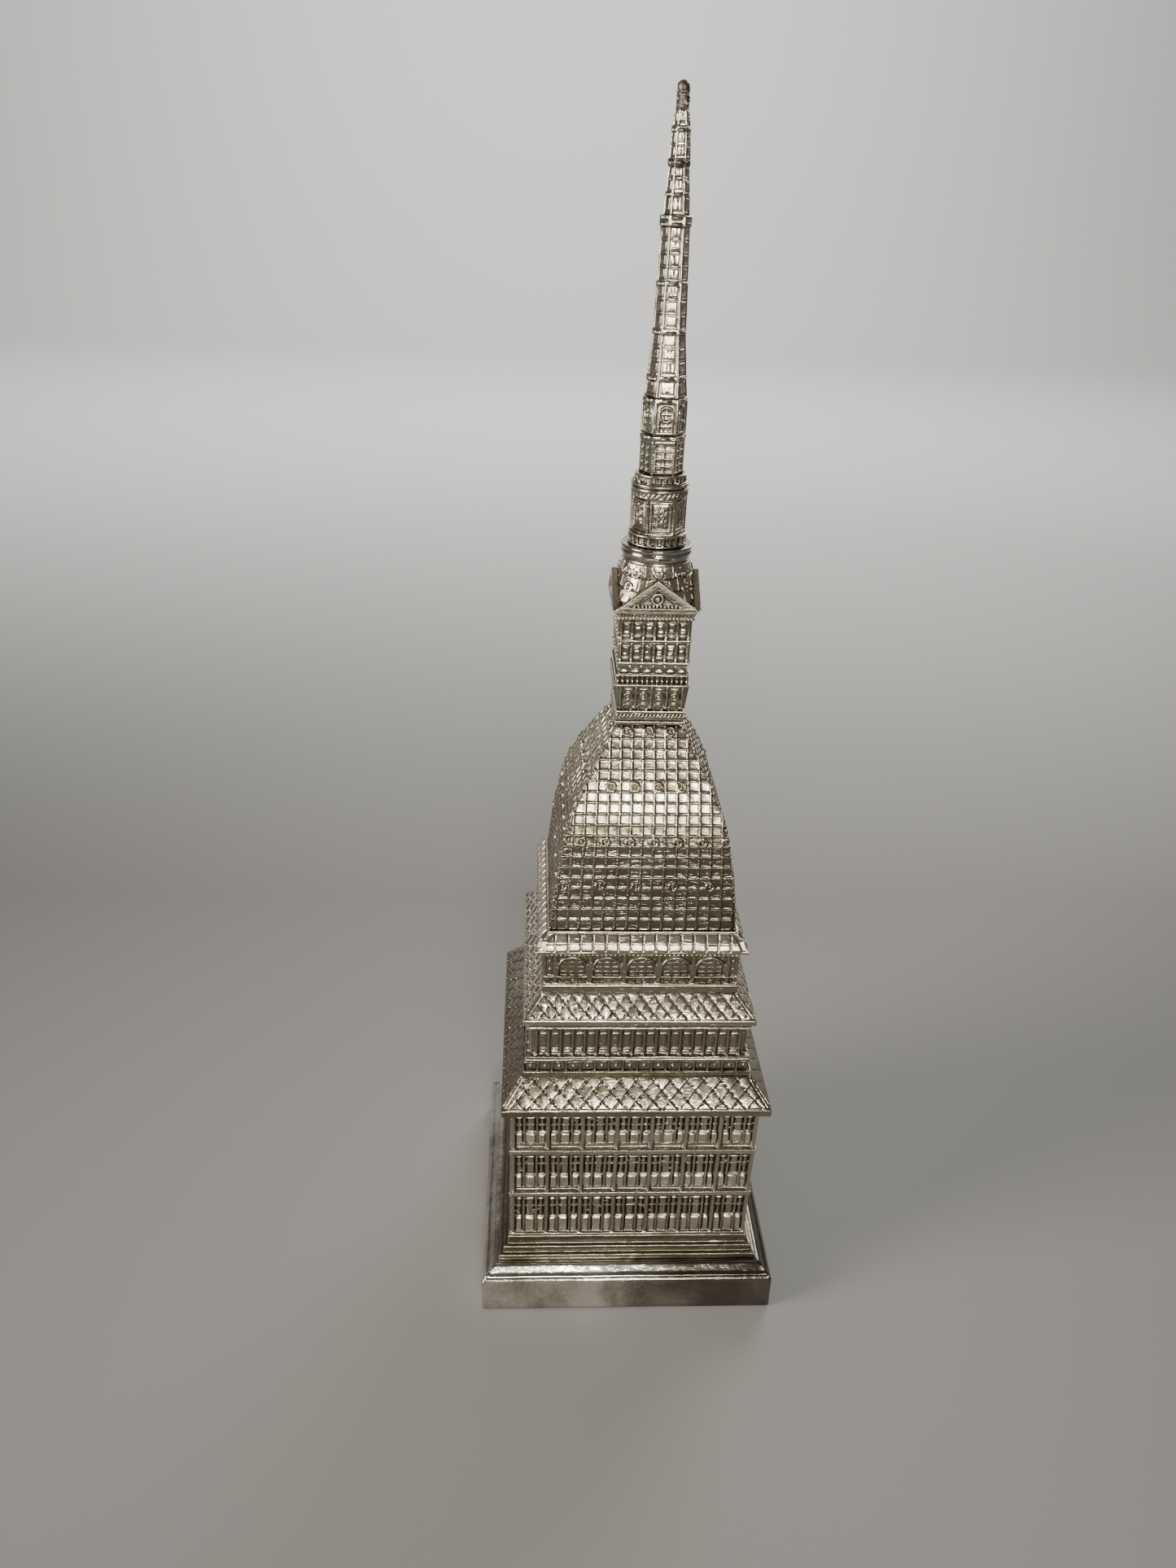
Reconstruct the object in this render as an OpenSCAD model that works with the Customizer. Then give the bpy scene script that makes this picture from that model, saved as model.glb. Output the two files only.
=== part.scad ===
// Cast white-metal model of a domed tower with a stepped spire, on a chamfered plinth.
// Millimetres, +Z up. The origin is the middle of the underside; the front faces -Y.
// The walls and the dome are four flat castings each, soldered together on mitred corners.
// The round and six-sided pieces over the lantern are threaded on one thin steel rod.

/* [Plinth] */
// Half width of the plinth at its foot
plinth_half = 47.4; // [46:0.1:54]
// Half width at the top of the upright band
band_top_half = 47.1; // [45.5:0.1:54]
// Height of the upright band
band_h = 12.6; // [10:0.1:18]
// Inset of the chamfer over the band
chamfer_in = 3.5; // [2:0.1:4]
// Rise of the chamfer
chamfer_h = 4.0; // [2:0.1:6]
// Half widths of the steps, lowest first
step_half = [41.8, 40.4, 39.0]; // [38.9:0.1:42]
// Heights of the steps, lowest first
step_h = [2.4, 2.4, 3.2]; // [1:0.1:5]

/* [Lower block] */
// Half width to the window faces
low_half = 37.4; // [36.5:0.1:37.8]
// Heights of the three storeys, string course included
storey_h = [18.8, 17.9, 15.7]; // [14:0.1:22]
// Windows across each side, each between two piers
low_bays = 7; // [5:1:9]
// Half width of the eave
low_eave_half = 41.1; // [39.5:0.1:43]
// Height of the roof over the eave
low_roof_h = 7.8; // [5:0.1:10]

/* [Middle block] */
// Half width behind the colonnade
mid_half = 32.4; // [32:0.1:33]
// Height of the block, eave left out
mid_h = 19.3; // [18:0.1:24]
// Columns across each side
columns = 18; // [10:1:24]
// Half width of the eave
mid_eave_half = 34.8; // [33.8:0.1:36]
// Height of the roof over the eave
mid_roof_h = 6.0; // [4:0.1:8]

/* [Upper block] */
// Half width of the wall face
up_half = 28.4; // [28:0.1:28.7]
// Height of the block, eave left out
up_h = 14.6; // [14:0.1:18]
// Arched windows across each side
arches = 5; // [3:1:5]
// Half width of the eave
up_eave_half = 30.8; // [29.5:0.1:32]

/* [Dome] */
// Half width of the dome at its foot
dome_foot_half = 27.3; // [26.8:0.1:27.4]
// Half width of the dome at its top
dome_top_half = 9.4; // [9:0.1:10]
// Height of the dome
dome_h = 57.6; // [50:0.1:62]

/* [Lantern] */
// Half width of the lantern's window faces
lantern_half = 9.6; // [9.3:0.1:9.8]
// Height of the lantern up to its gables
lantern_h = 29.6; // [29:0.1:33]
// Rise of the gables
gable_rise = 8.6; // [6:0.1:9]

/* [Gallery and spire] */
// Radius of the polished gallery disc
gallery_r = 9.65; // [9.4:0.05:11]
// Ribs round the balustrade on the disc
balusters = 24; // [12:1:36]
// Corner radius of the lowest drum
drum_r = 7.55; // [7.2:0.05:7.8]
// Corner radius of the drum with the paned windows
belvedere_r = 5.9; // [5.5:0.05:6.1]
// Corner radius of the drum with the arched windows
upper_drum_r = 5.95; // [5.5:0.05:6]
// Height of the dark tip
tip_h = 6; // [5:0.1:9]

/* [Construction] */
// Thickness of the cast walls
wall_t = 2.0; // [1.6:0.1:2.4]
// Thickness of the felt
felt_t = 1.4; // [1:0.1:2]
// Thickness of the steel bottom plate
plate_t = 1.6; // [1.2:0.1:2]
// Radius of the steel rod up the spire
rod_r = 1.0; // [0.8:0.05:1.1]

/* [Hidden] */
$fn = 48;
far = 60;
run = 0.05;
eave_h = 2.7;
mid_eave_h = 2.1;
skirt_h = 6.5;
rim_t = 2.6;
screw_at = 39.5;
screw_r = 1.5;
screw_head_r = 3.0;
boss_r = 3.6;
boss_h = 9;
pier_w = 1.6;
pier_out = 0.9;
mullion_w = 0.8;
mullion_out = 0.75;
string_h = 1.9;
string_out = 1.4;
spandrel_out = 0.5;
slope_h = 1.2;
column_r = 0.55;
arch_w = 9.0;
arch_end_bay = 2.9;
oculus_r = 1.45;
lantern_in = 7.4;
mullions = 7;
gable_half = 11.4;
gable_out = 12.0;
gable_in = 10.2;
bell_foot_r = 13.2;
bell_neck_r = 9.35;
nut_flats = 4;
nut_h = 1.6;
washer_r = 2.5;
washer_t = 0.5;

// Heights where each tier starts, from the foot up
z_steps = band_h + chamfer_h;
z_low = z_steps + step_h[0] + step_h[1] + step_h[2];
z_storey = [z_low, z_low + storey_h[0], z_low + storey_h[0] + storey_h[1]];
z_low_eave = z_storey[2] + storey_h[2];
z_mid = z_low_eave + eave_h + low_roof_h;
z_mid_eave = z_mid + mid_h;
z_up = z_mid_eave + mid_eave_h + mid_roof_h;
z_up_eave = z_up + up_h;
z_dome = z_up_eave + skirt_h;
z_lantern_foot = z_dome + dome_h;
z_lantern = z_lantern_foot + 4.0;
z_gable = z_lantern + lantern_h;
z_disc = z_gable + gable_rise + 3.8;
z_rail = z_disc + 3.7;
z_drum = z_rail + 3.2;
z_balcony = z_drum + 12;
z_belvedere = z_balcony + 1.5;
z_upper_drum = z_belvedere + 11.8;
z_spire = z_upper_drum + 9.1;
z_middle = z_spire + 26.9;
z_collar = z_middle + 24.6;
z_top = z_collar + 1.6;
z_tip = z_top + 10;
z_end = z_tip + tip_h;

// Where one tier's walls stop, inside
low_in = low_half - wall_t;
mid_in = mid_half - wall_t;
up_in = up_half + 0.3 - wall_t;
dome_in = dome_foot_half - 1.4 * wall_t;
mid_base_half = 34.8;
up_base_half = 29.3;

// ---- helpers

// Slab as wide as each [half width, height] point says, very long along X
module slab(section) {
    count = len(section);
    left = [for (p = section) [-p[0], p[1]]];
    right = [for (i = [1:count]) [section[count - i][0], section[count - i][1]]];
    translate([-far, 0, 0])
        rotate([90, 0, 90])
            linear_extrude(height = 2 * far)
                polygon(concat(left, right));
}

// Solid with 2 * pairs flat sides, front and back square on to Y
module flat_sided(pairs, section) {
    intersection_for (k = [0:pairs - 1])
        rotate(k * 180 / pairs)
            slab(section);
}

// Square solid of the given section
module square_turned(section) {
    flat_sided(2, section);
}

// Six-sided solid; section gives [corner radius, height]
module hex_turned(section) {
    flat_sided(3, [for (p = section) [p[0] * cos(30), p[1]]]);
}

// Wedge with its edge on the axis, which gives a side panel its mitred ends
module wedge(z0, z1) {
    translate([0, 0, z0])
        linear_extrude(height = z1 - z0)
            polygon([[0, 0], [-far, -far], [far, -far]]);
}

// Front panel cut to the mitre: outer [half width, height] points, then the inner face's
module side_panel(outer, inner) {
    count = len(inner);
    back = [for (i = [1:count]) [-inner[count - i][0], inner[count - i][1]]];
    intersection() {
        wedge(outer[0][1], outer[len(outer) - 1][1]);
        union() {
            translate([-far, 0, 0])
                rotate([90, 0, 90])
                    linear_extrude(height = 2 * far)
                        polygon(concat([for (p = outer) [-p[0], p[1]]], back));
            children();
        }
    }
}

// Upright strip on the front face, centred on x
module strip(x, w, out, z0, z1) {
    translate([x - w / 2, -out, z0])
        cube([w, 1.2, z1 - z0]);
}

// Hole for the rod from z0 to z1
module rod_hole(z0, z1) {
    translate([0, 0, z0])
        cylinder(r = rod_r + run, h = z1 - z0);
}

// Places its children at the four screws
module at_screws() {
    for (x = [-screw_at, screw_at], y = [-screw_at, screw_at])
        translate([x, y, 0])
            children();
}

// Running height over a list of layers
function height_of(layers, count) = count == 0 ? 0 : layers[count - 1][1] + height_of(layers, count - 1);

// Corner points of stacked layers, each given as [half width, height]
function stacked(layers, z0) = [
    for (i = [0:len(layers) - 1], top = [0, 1])
        [layers[i][0], z0 + height_of(layers, i + top)]
];

// Corner points of spire stages: foot radius, top radius, height, ring radius, ring height
function stage_h(stages, count) =
    count == 0 ? 0 : stages[count - 1][2] + stages[count - 1][4] + stage_h(stages, count - 1);
function staged(stages, z0) = [
    for (i = [0:len(stages) - 1], k = [0:3])
        let (s = stages[i], z = z0 + stage_h(stages, i))
            [[s[0], s[1], s[3], s[3]][k], z + [0, s[2], s[2], s[2] + s[4]][k]]
];

// Point at t on the cubic curve with the given four control points
function on_curve(c, t) =
    c[0] * pow(1 - t, 3) + 3 * c[1] * t * pow(1 - t, 2) + 3 * c[2] * t * t * (1 - t) + c[3] * pow(t, 3);

// ---- plinth

module felt_pad() {
    color("#26312b")
        translate([0, 0, felt_t / 2])
            cube([2 * (plinth_half - rim_t), 2 * (plinth_half - rim_t), felt_t], center = true);
}

// Countersunk head and shank, both for the screws and for their holes
module screw_shape(length) {
    translate([0, 0, felt_t])
        cylinder(r1 = screw_head_r, r2 = screw_r, h = plate_t);
    translate([0, 0, felt_t + plate_t - 0.01])
        cylinder(r = screw_r, h = length);
}

module bottom_plate() {
    plate_half = plinth_half - rim_t;
    color("#8d8f90")
        difference() {
            translate([-plate_half, -plate_half, felt_t])
                cube([2 * plate_half, 2 * plate_half, plate_t]);
            at_screws()
                screw_shape(plate_t);
        }
}

module bottom_plate_screws() {
    color("#a9a9a4")
        at_screws()
            screw_shape(6);
}

module plinth() {
    cavity_half = band_top_half - rim_t - 1;
    cavity_top = z_steps - 3;
    z_plate = felt_t + plate_t;
    color("#a59c8b")
        difference() {
            union() {
                difference() {
                    square_turned([
                        [plinth_half, 0], [band_top_half, band_h], [band_top_half - chamfer_in, z_steps]
                    ]);
                    square_turned([
                        [cavity_half, z_plate], [cavity_half, band_h - 3], [cavity_half - chamfer_in, cavity_top]
                    ]);
                    square_turned([[low_in - 3, z_plate], [low_in - 3, z_steps + 1]]);
                }
                at_screws()
                    translate([0, 0, z_plate])
                        cylinder(r = boss_r, h = boss_h);
            }
            square_turned([[plinth_half - rim_t, -1], [plinth_half - rim_t, z_plate]]);
            at_screws()
                translate([0, 0, z_plate - 1])
                    cylinder(r = screw_r, h = 8);
        }
}

module stepped_base() {
    color("#a0937c")
        difference() {
            square_turned(stacked([for (i = [0:2]) [step_half[i], step_h[i]]], z_steps));
            square_turned([[low_in - 1.5, z_steps - 1], [low_in - 1.5, z_low + 1]]);
        }
}

// ---- lower block

// Outline of one storey's face: sill slope, panel under the windows, windows, string course
function storey_points(i) =
    let (z = z_storey[i], top = z_storey[i] + storey_h[i], panel = low_half + spandrel_out)
    [
        [panel, i == 0 ? z : z + slope_h],
        [panel, z + 0.44 * storey_h[i]],
        [low_half, z + 0.46 * storey_h[i]],
        [low_half, top - string_h],
        [low_half + string_out, top - string_h],
        [low_half + string_out, top]
    ];

module lower_wall(turn) {
    pitch = 2 * low_half / low_bays;
    color("#948c7b")
        rotate(turn)
            side_panel(
                concat(storey_points(0), storey_points(1), storey_points(2)),
                [[low_in, z_low], [low_in, z_low_eave]]
            )
                for (i = [0:2]) {
                    z0 = z_storey[i] + (i == 0 ? 0 : 0.4);
                    z1 = z_storey[i] + storey_h[i] - string_h / 2;
                    for (k = [0:low_bays])
                        strip((k - low_bays / 2) * pitch, pier_w, low_half + pier_out, z0, z1);
                    for (k = [0:low_bays - 1], side = [-0.19, 0.19])
                        strip((k + 0.5 - low_bays / 2 + side) * pitch, mullion_w, low_half + mullion_out, z0, z1);
                }
}

// Hipped roof on an upright eave, open inside
module hipped_roof(z0, z1, z2, eave_half, top_half, in_low, in_high) {
    difference() {
        square_turned([[eave_half, z0], [eave_half, z1], [top_half, z2]]);
        square_turned([[in_low, z0 - 1], [in_low, z1], [in_high, z2 + 1]]);
    }
}

module lower_roof() {
    color("#a79d86")
        hipped_roof(
            z_low_eave, z_low_eave + eave_h, z_mid,
            low_eave_half, mid_base_half + 0.2, low_in, mid_in - 1.5
        );
}

// ---- middle block

module middle_wall(turn) {
    layers = [
        [mid_base_half, 2.5], [34.0, 3.2], [34.3, 1.3], [mid_half, 1.8], [mid_half + 0.3, 0.6],
        [mid_half, 5.1], [mid_half + 0.3, 0.6], [mid_half, 1.9]
    ];
    z_columns = z_mid + height_of(layers, 3);
    z_dentils = z_mid + height_of(layers, len(layers));
    frieze = [[33.7, z_dentils], [33.7, z_mid_eave]];
    color("#8f8877")
        rotate(turn)
            side_panel(concat(stacked(layers, z_mid), frieze), [[mid_in, z_mid], [mid_in, z_mid_eave]])
                for (k = [0:columns - 1])
                    translate([(k + 0.5 - columns / 2) * 2 * mid_half / columns, -mid_half, z_columns - 0.2])
                        cylinder(r = column_r, h = z_dentils - z_columns + 0.4, $fn = 16);
}

module middle_roof() {
    color("#a79d86")
        hipped_roof(
            z_mid_eave, z_mid_eave + mid_eave_h, z_up,
            mid_eave_half, up_base_half, mid_in, up_in - 1
        );
}

// ---- upper block

// Arched window recess with its bars left standing
module arched_window(x, z) {
    half = arch_w / 2 - 0.6;
    difference() {
        translate([x, -up_half + 0.7, z])
            rotate([90, 0, 0])
                linear_extrude(height = 3)
                    union() {
                        translate([-half, 0])
                            square([2 * half, 2.2]);
                        translate([0, 2.2])
                            intersection() {
                                circle(r = half);
                                translate([-half, 0])
                                    square([2 * half, half]);
                            }
                    }
        for (side = [-1, 1])
            strip(x + side * 1.6, 0.5, up_half - 0.2, z - 1, z + 8);
    }
}

module upper_wall(turn) {
    layers = [[up_base_half, 2.7], [up_half, 1.8], [up_half + 0.4, 1.3], [up_half, 7.3], [up_half + 0.5, 1.5]];
    z_sill = z_up + height_of(layers, 3);
    z_frieze = z_up + height_of(layers, 4);
    pitch = 2 * (up_half - arch_end_bay) / arches;
    color("#8f8877")
        rotate(turn)
            difference() {
                side_panel(
                    concat([for (p = stacked(layers, z_up)) [p[0], min(p[1], z_up_eave)]]),
                    [[up_in, z_up], [up_in, z_up_eave]]
                )
                    for (k = [0:arches])
                        strip((k - arches / 2) * pitch, 1.2, up_half + 0.55, z_up + 2.5, z_frieze + 0.2);
                for (k = [0:arches - 1])
                    arched_window((k + 0.5 - arches / 2) * pitch, z_sill);
            }
}

module skirt_roof() {
    z_tiles = z_up_eave + 2.3;
    color("#a3977f")
        difference() {
            square_turned([
                [up_eave_half, z_up_eave], [up_eave_half, z_tiles], [up_eave_half - 1.6, z_tiles + 2.4],
                [dome_foot_half + 0.3, z_dome]
            ]);
            square_turned([
                [up_in, z_up_eave - 1], [up_in, z_tiles], [dome_in - 1, z_tiles + 3], [dome_in - 1, z_dome + 1]
            ]);
        }
}

// ---- dome

dome_bends = [
    [dome_foot_half, 0], [dome_foot_half - 3.9, 37],
    [dome_top_half + 12.4, dome_h - 22.4], [dome_top_half, dome_h]
];
dome_cuts = 16;
function dome_point(t, inset) = on_curve(dome_bends, t) + [-inset, z_dome];
function dome_points(inset) = [for (i = [0:dome_cuts]) dome_point(i / dome_cuts, inset)];
// Rows of round windows: place along the curve, how many, and their pitch
oculus_rows = [[0.845, 3, 4.6], [0.70, 4, 4.6], [0.535, 7, 5.4], [0.40, 5, 8.6]];

module dome_panel(turn) {
    color("#978b78")
        rotate(turn)
            side_panel(dome_points(0), dome_points(wall_t))
                for (row = oculus_rows, k = [0:row[1] - 1])
                    translate([
                        (k - (row[1] - 1) / 2) * row[2], -dome_point(row[0], 1.0)[0], dome_point(row[0], 1.0)[1]
                    ])
                        rotate([90 - 75 * pow(row[0], 3), 0, 0])
                            cylinder(r = oculus_r, h = 1.5, $fn = 24);
}

// ---- lantern

module lantern_base() {
    color("#9a907e")
        difference() {
            square_turned(stacked([[10.0, 1.0], [9.3, 0.5], [9.8, 1.0], [9.2, 0.5], [9.6, 1.0]], z_lantern_foot));
            square_turned([[lantern_in, z_lantern_foot - 1], [lantern_in, z_lantern + 1]]);
        }
}

module lantern_wall(turn) {
    flare = [[9.2, z_lantern], [10.3, z_lantern + 7.7]];
    layers = [
        [10.7, 0.7], [10.1, 2.0], [10.5, 1.0], [9.9, 2.5], [10.3, 1.1],
        [lantern_half, 5.0], [10.2, 1.2], [lantern_half, 5.6]
    ];
    z_layers = z_lantern + 7.7;
    z_lower = z_layers + height_of(layers, 5);
    z_upper = z_layers + height_of(layers, 7);
    z_cornice = z_layers + height_of(layers, 8);
    cornice = [[10.9, z_cornice], [11.0, z_gable]];
    color("#8f8877")
        rotate(turn)
            side_panel(concat(flare, stacked(layers, z_layers), cornice), [[lantern_in, z_lantern], [lantern_in, z_gable]])
                for (k = [0:mullions - 1]) {
                    x = (k - (mullions - 1) / 2) * (2 * lantern_half - 0.6) / (mullions - 1);
                    strip(x, 0.6, lantern_half + 0.4, z_lower - 0.1, z_upper - 1.1);
                    strip(x, 0.6, lantern_half + 0.4, z_upper - 0.1, z_cornice + 0.1);
                }
}

// Outer shape of the flared roof over the lantern, between the gables
function bell_r(z) =
    let (drop = z_disc - z, whole = z_disc - z_gable - 0.8)
        bell_neck_r + (bell_foot_r - bell_neck_r) * pow(max(drop, 0) / whole, 1.5);
bell_cuts = 10;
function bell_points() = [
    for (i = [0:bell_cuts])
        let (z = z_gable + 0.8 + (z_disc - z_gable - 0.8) * i / bell_cuts)
            [bell_r(z), z]
];

// The four gables' prisms
module gable_prisms() {
    for (turn = [0, 90, 180, 270])
        rotate(turn)
            translate([0, -gable_in, z_gable])
                rotate([90, 0, 0])
                    linear_extrude(height = gable_out - gable_in)
                        polygon([[-gable_half, 0], [gable_half, 0], [0, gable_rise]]);
}

module gable_roof() {
    color("#958b79")
        difference() {
            union() {
                square_turned([[gable_half, z_gable], [gable_half, z_gable + 0.8]]);
                gable_prisms();
            }
            square_turned([[lantern_in, z_gable - 1], [lantern_in, z_gable + 2]]);
        }
}

module bell_roof() {
    color("#9a8f7c")
        difference() {
            intersection() {
                rotate_extrude($fn = 72)
                    polygon(concat([[0, z_gable + 0.8]], bell_points(), [[0, z_disc]]));
                square_turned([[gable_in, z_gable], [gable_in, z_disc + 1]]);
            }
            rotate_extrude($fn = 72)
                polygon([[0, z_gable], [8.6, z_gable], [7.4, z_disc - 2.2], [0, z_disc - 2.2]]);
            rod_hole(z_gable, z_end);
        }
}

// ---- gallery and drums

module gallery_disc() {
    color("#b3ab9b")
        difference() {
            rotate_extrude($fn = 96)
                polygon([
                    [0, z_disc], [gallery_r - 0.35, z_disc], [gallery_r - 0.2, z_disc + 1],
                    [gallery_r, z_disc + 1.5], [gallery_r, z_rail - 0.2], [gallery_r - 0.2, z_rail], [0, z_rail]
                ]);
            rod_hole(z_disc - 1, z_rail + 1);
        }
}

module gallery_balustrade() {
    outer = drum_r + 0.15;
    color("#a59c85") {
        difference() {
            translate([0, 0, z_rail])
                cylinder(r = outer, h = z_drum - z_rail);
            translate([0, 0, z_rail - 1])
                cylinder(r = outer - 0.9, h = 6);
        }
        for (k = [0:balusters - 1])
            rotate(k * 360 / balusters)
                translate([outer - 0.1, 0, z_rail])
                    cylinder(r = 0.35, h = z_drum - z_rail, $fn = 16);
    }
}

// Six-sided drum with a round core under it
module panelled_drum() {
    core_r = drum_r - 0.75;
    color("#9b917f")
        difference() {
            union() {
                translate([0, 0, z_rail])
                    cylinder(r = core_r, h = z_drum - z_rail);
                hex_turned([[drum_r, z_drum], [drum_r, z_drum + 9.5]]);
                for (k = [0:5])
                    rotate(k * 60)
                        translate([drum_r - 0.55, 0, z_drum])
                            cylinder(r = 0.55, h = 9.6, $fn = 16);
                translate([0, 0, z_drum + 9.5])
                    cylinder(r = drum_r + 0.15, h = 2.5);
            }
            rod_hole(z_rail - 1, z_balcony + 1);
        }
}

module balcony_ring() {
    color("#a59c85")
        difference() {
            union() {
                translate([0, 0, z_balcony])
                    cylinder(r = 7.8, h = 1.5);
                difference() {
                    translate([0, 0, z_belvedere])
                        cylinder(r = 6.9, h = 2);
                    translate([0, 0, z_belvedere])
                        cylinder(r = 6.2, h = 3);
                }
            }
            rod_hole(z_balcony - 1, z_belvedere + 1);
        }
}

module belvedere_drum() {
    color("#a49a83")
        difference() {
            hex_turned(staged([[belvedere_r, belvedere_r, 10.5, 6.4, 1.3]], z_belvedere));
            rod_hole(z_belvedere - 1, z_upper_drum + 1);
        }
}

module arched_drum() {
    color("#a49a83")
        difference() {
            hex_turned(staged([[upper_drum_r, upper_drum_r - 0.1, 7.8, 6.1, 1.3]], z_upper_drum));
            rod_hole(z_upper_drum - 1, z_spire + 1);
        }
}

// ---- spire

lower_stages = [[5.6, 5.2, 4.1, 5.5, 1.1], [5.05, 4.25, 9.7, 4.6, 1.2], [4.25, 4.0, 9.8, 4.25, 1.0]];
middle_stages = [[3.85, 3.6, 12.0, 4.25, 2.4], [3.25, 3.05, 4.0, 3.2, 0.8], [2.95, 2.55, 5.4, 2.55, 0]];
top_stages = [[2.6, 2.3, 5.4, 2.6, 1.2], [2.1, 1.75, 3.4, 1.75, 0]];

// Outline without the last, empty ring
function without_last(points) = [for (i = [0:len(points) - 3]) points[i]];

module spire_lower() {
    color("#a89e86")
        difference() {
            hex_turned(staged(lower_stages, z_spire));
            rod_hole(z_spire - 1, z_middle + 1);
        }
}

module spire_middle() {
    color("#a89e86")
        difference() {
            hex_turned(without_last(staged(middle_stages, z_middle)));
            rod_hole(z_middle - 1, z_collar + 1);
        }
}

module solder_collar() {
    color("#4b4545")
        difference() {
            hex_turned([[2.75, z_collar], [2.95, z_collar + 0.5], [2.95, z_collar + 1.2], [2.7, z_top]]);
            rod_hole(z_collar - 1, z_top + 1);
        }
}

module spire_top() {
    color("#a89e86")
        difference() {
            hex_turned(without_last(staged(top_stages, z_top)));
            rod_hole(z_top - 1, z_tip + 1);
        }
}

module spire_tip() {
    color("#3d3838")
        difference() {
            hex_turned([
                [1.7, z_tip], [1.65, z_tip + 2.5], [1.75, z_end - 1.5], [1.65, z_end - 0.5], [1.3, z_end]
            ]);
            rod_hole(z_tip - 1, z_end - 2);
        }
}

// ---- rod that holds the stack

module spire_rod() {
    color("#8d8f90")
        translate([0, 0, z_disc - 5])
            cylinder(r = rod_r, h = z_end - 2.2 - (z_disc - 5));
}

module rod_washer() {
    color("#8d8f90")
        difference() {
            translate([0, 0, z_disc - 2.2 - washer_t])
                cylinder(r = washer_r, h = washer_t);
            rod_hole(z_gable, z_disc);
        }
}

module rod_nut() {
    z_nut = z_disc - 2.2 - washer_t - nut_h;
    color("#8d8f90")
        difference() {
            translate([0, 0, z_nut])
                cylinder(r = nut_flats / 2 / cos(30), h = nut_h, $fn = 6);
            translate([0, 0, z_nut - 1])
                cylinder(r = rod_r, h = nut_h + 2);
        }
}

felt_pad();
bottom_plate();
bottom_plate_screws();
plinth();
stepped_base();
lower_wall(0);  // lower_wall_front
lower_wall(90);  // lower_wall_right
lower_wall(180);  // lower_wall_back
lower_wall(270);  // lower_wall_left
lower_roof();
middle_wall(0);  // middle_wall_front
middle_wall(90);  // middle_wall_right
middle_wall(180);  // middle_wall_back
middle_wall(270);  // middle_wall_left
middle_roof();
upper_wall(0);  // upper_wall_front
upper_wall(90);  // upper_wall_right
upper_wall(180);  // upper_wall_back
upper_wall(270);  // upper_wall_left
skirt_roof();
dome_panel(0);  // dome_panel_front
dome_panel(90);  // dome_panel_right
dome_panel(180);  // dome_panel_back
dome_panel(270);  // dome_panel_left
lantern_base();
lantern_wall(0);  // lantern_wall_front
lantern_wall(90);  // lantern_wall_right
lantern_wall(180);  // lantern_wall_back
lantern_wall(270);  // lantern_wall_left
gable_roof();
bell_roof();
gallery_disc();
gallery_balustrade();
panelled_drum();
balcony_ring();
belvedere_drum();
arched_drum();
spire_lower();
spire_middle();
solder_collar();
spire_top();
spire_tip();
spire_rod();
rod_nut();
rod_washer();
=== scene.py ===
import bpy
import math
import random
from mathutils import Matrix, Vector


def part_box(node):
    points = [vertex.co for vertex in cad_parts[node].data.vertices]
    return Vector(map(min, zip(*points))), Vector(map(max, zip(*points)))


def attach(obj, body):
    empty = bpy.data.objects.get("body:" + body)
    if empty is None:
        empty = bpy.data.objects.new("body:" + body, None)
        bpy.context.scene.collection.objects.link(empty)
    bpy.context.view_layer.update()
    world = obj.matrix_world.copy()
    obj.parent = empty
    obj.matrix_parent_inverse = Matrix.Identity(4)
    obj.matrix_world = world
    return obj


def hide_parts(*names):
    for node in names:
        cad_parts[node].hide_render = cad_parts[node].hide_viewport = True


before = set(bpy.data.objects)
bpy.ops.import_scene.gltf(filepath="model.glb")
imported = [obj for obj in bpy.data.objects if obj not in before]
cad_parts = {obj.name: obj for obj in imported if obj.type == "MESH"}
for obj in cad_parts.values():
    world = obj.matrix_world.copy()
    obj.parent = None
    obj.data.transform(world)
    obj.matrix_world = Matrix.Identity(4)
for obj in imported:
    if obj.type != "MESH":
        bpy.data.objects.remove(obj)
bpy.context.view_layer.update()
random.seed(11)
mm = 0.001
quarterNames = ["front", "right", "back", "left"]


# small tools for modelling, all in millimetres; "out" is the distance from the tower's axis

def heights(node):
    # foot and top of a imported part
    low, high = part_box(node)
    return low.z / mm, high.z / mm


def openPiece(name):
    bpy.ops.object.select_all(action="DESELECT")
    bpy.ops.object.add(type="MESH")
    piece = bpy.context.object
    piece.name = name
    bpy.ops.object.mode_set(mode="EDIT")
    return piece


def closePiece():
    bpy.ops.object.mode_set(mode="OBJECT")


def pickOnly(*pieces):
    bpy.ops.object.select_all(action="DESELECT")
    for piece in pieces:
        piece.select_set(True)
    bpy.context.view_layer.objects.active = pieces[0]


def useModifier(piece, kind, **settings):
    pickOnly(piece)
    modifier = piece.modifiers.new(kind.title(), kind)
    for setting, value in settings.items():
        setattr(modifier, setting, value)
    bpy.ops.object.modifier_apply(modifier=modifier.name)


def joinPieces(*pieces):
    pickOnly(*pieces)
    bpy.ops.object.join()
    return pieces[0]


def block(x0, x1, out0, out1, z0, z1, lean=0, roll=0):
    bpy.ops.mesh.primitive_cube_add(
        size=1,
        location=((x0 + x1) / 2 * mm, -(out0 + out1) / 2 * mm, (z0 + z1) / 2 * mm),
        rotation=(-math.radians(lean), math.radians(roll), 0),
        scale=((x1 - x0) * mm, (out1 - out0) * mm, (z1 - z0) * mm),
    )


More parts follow.
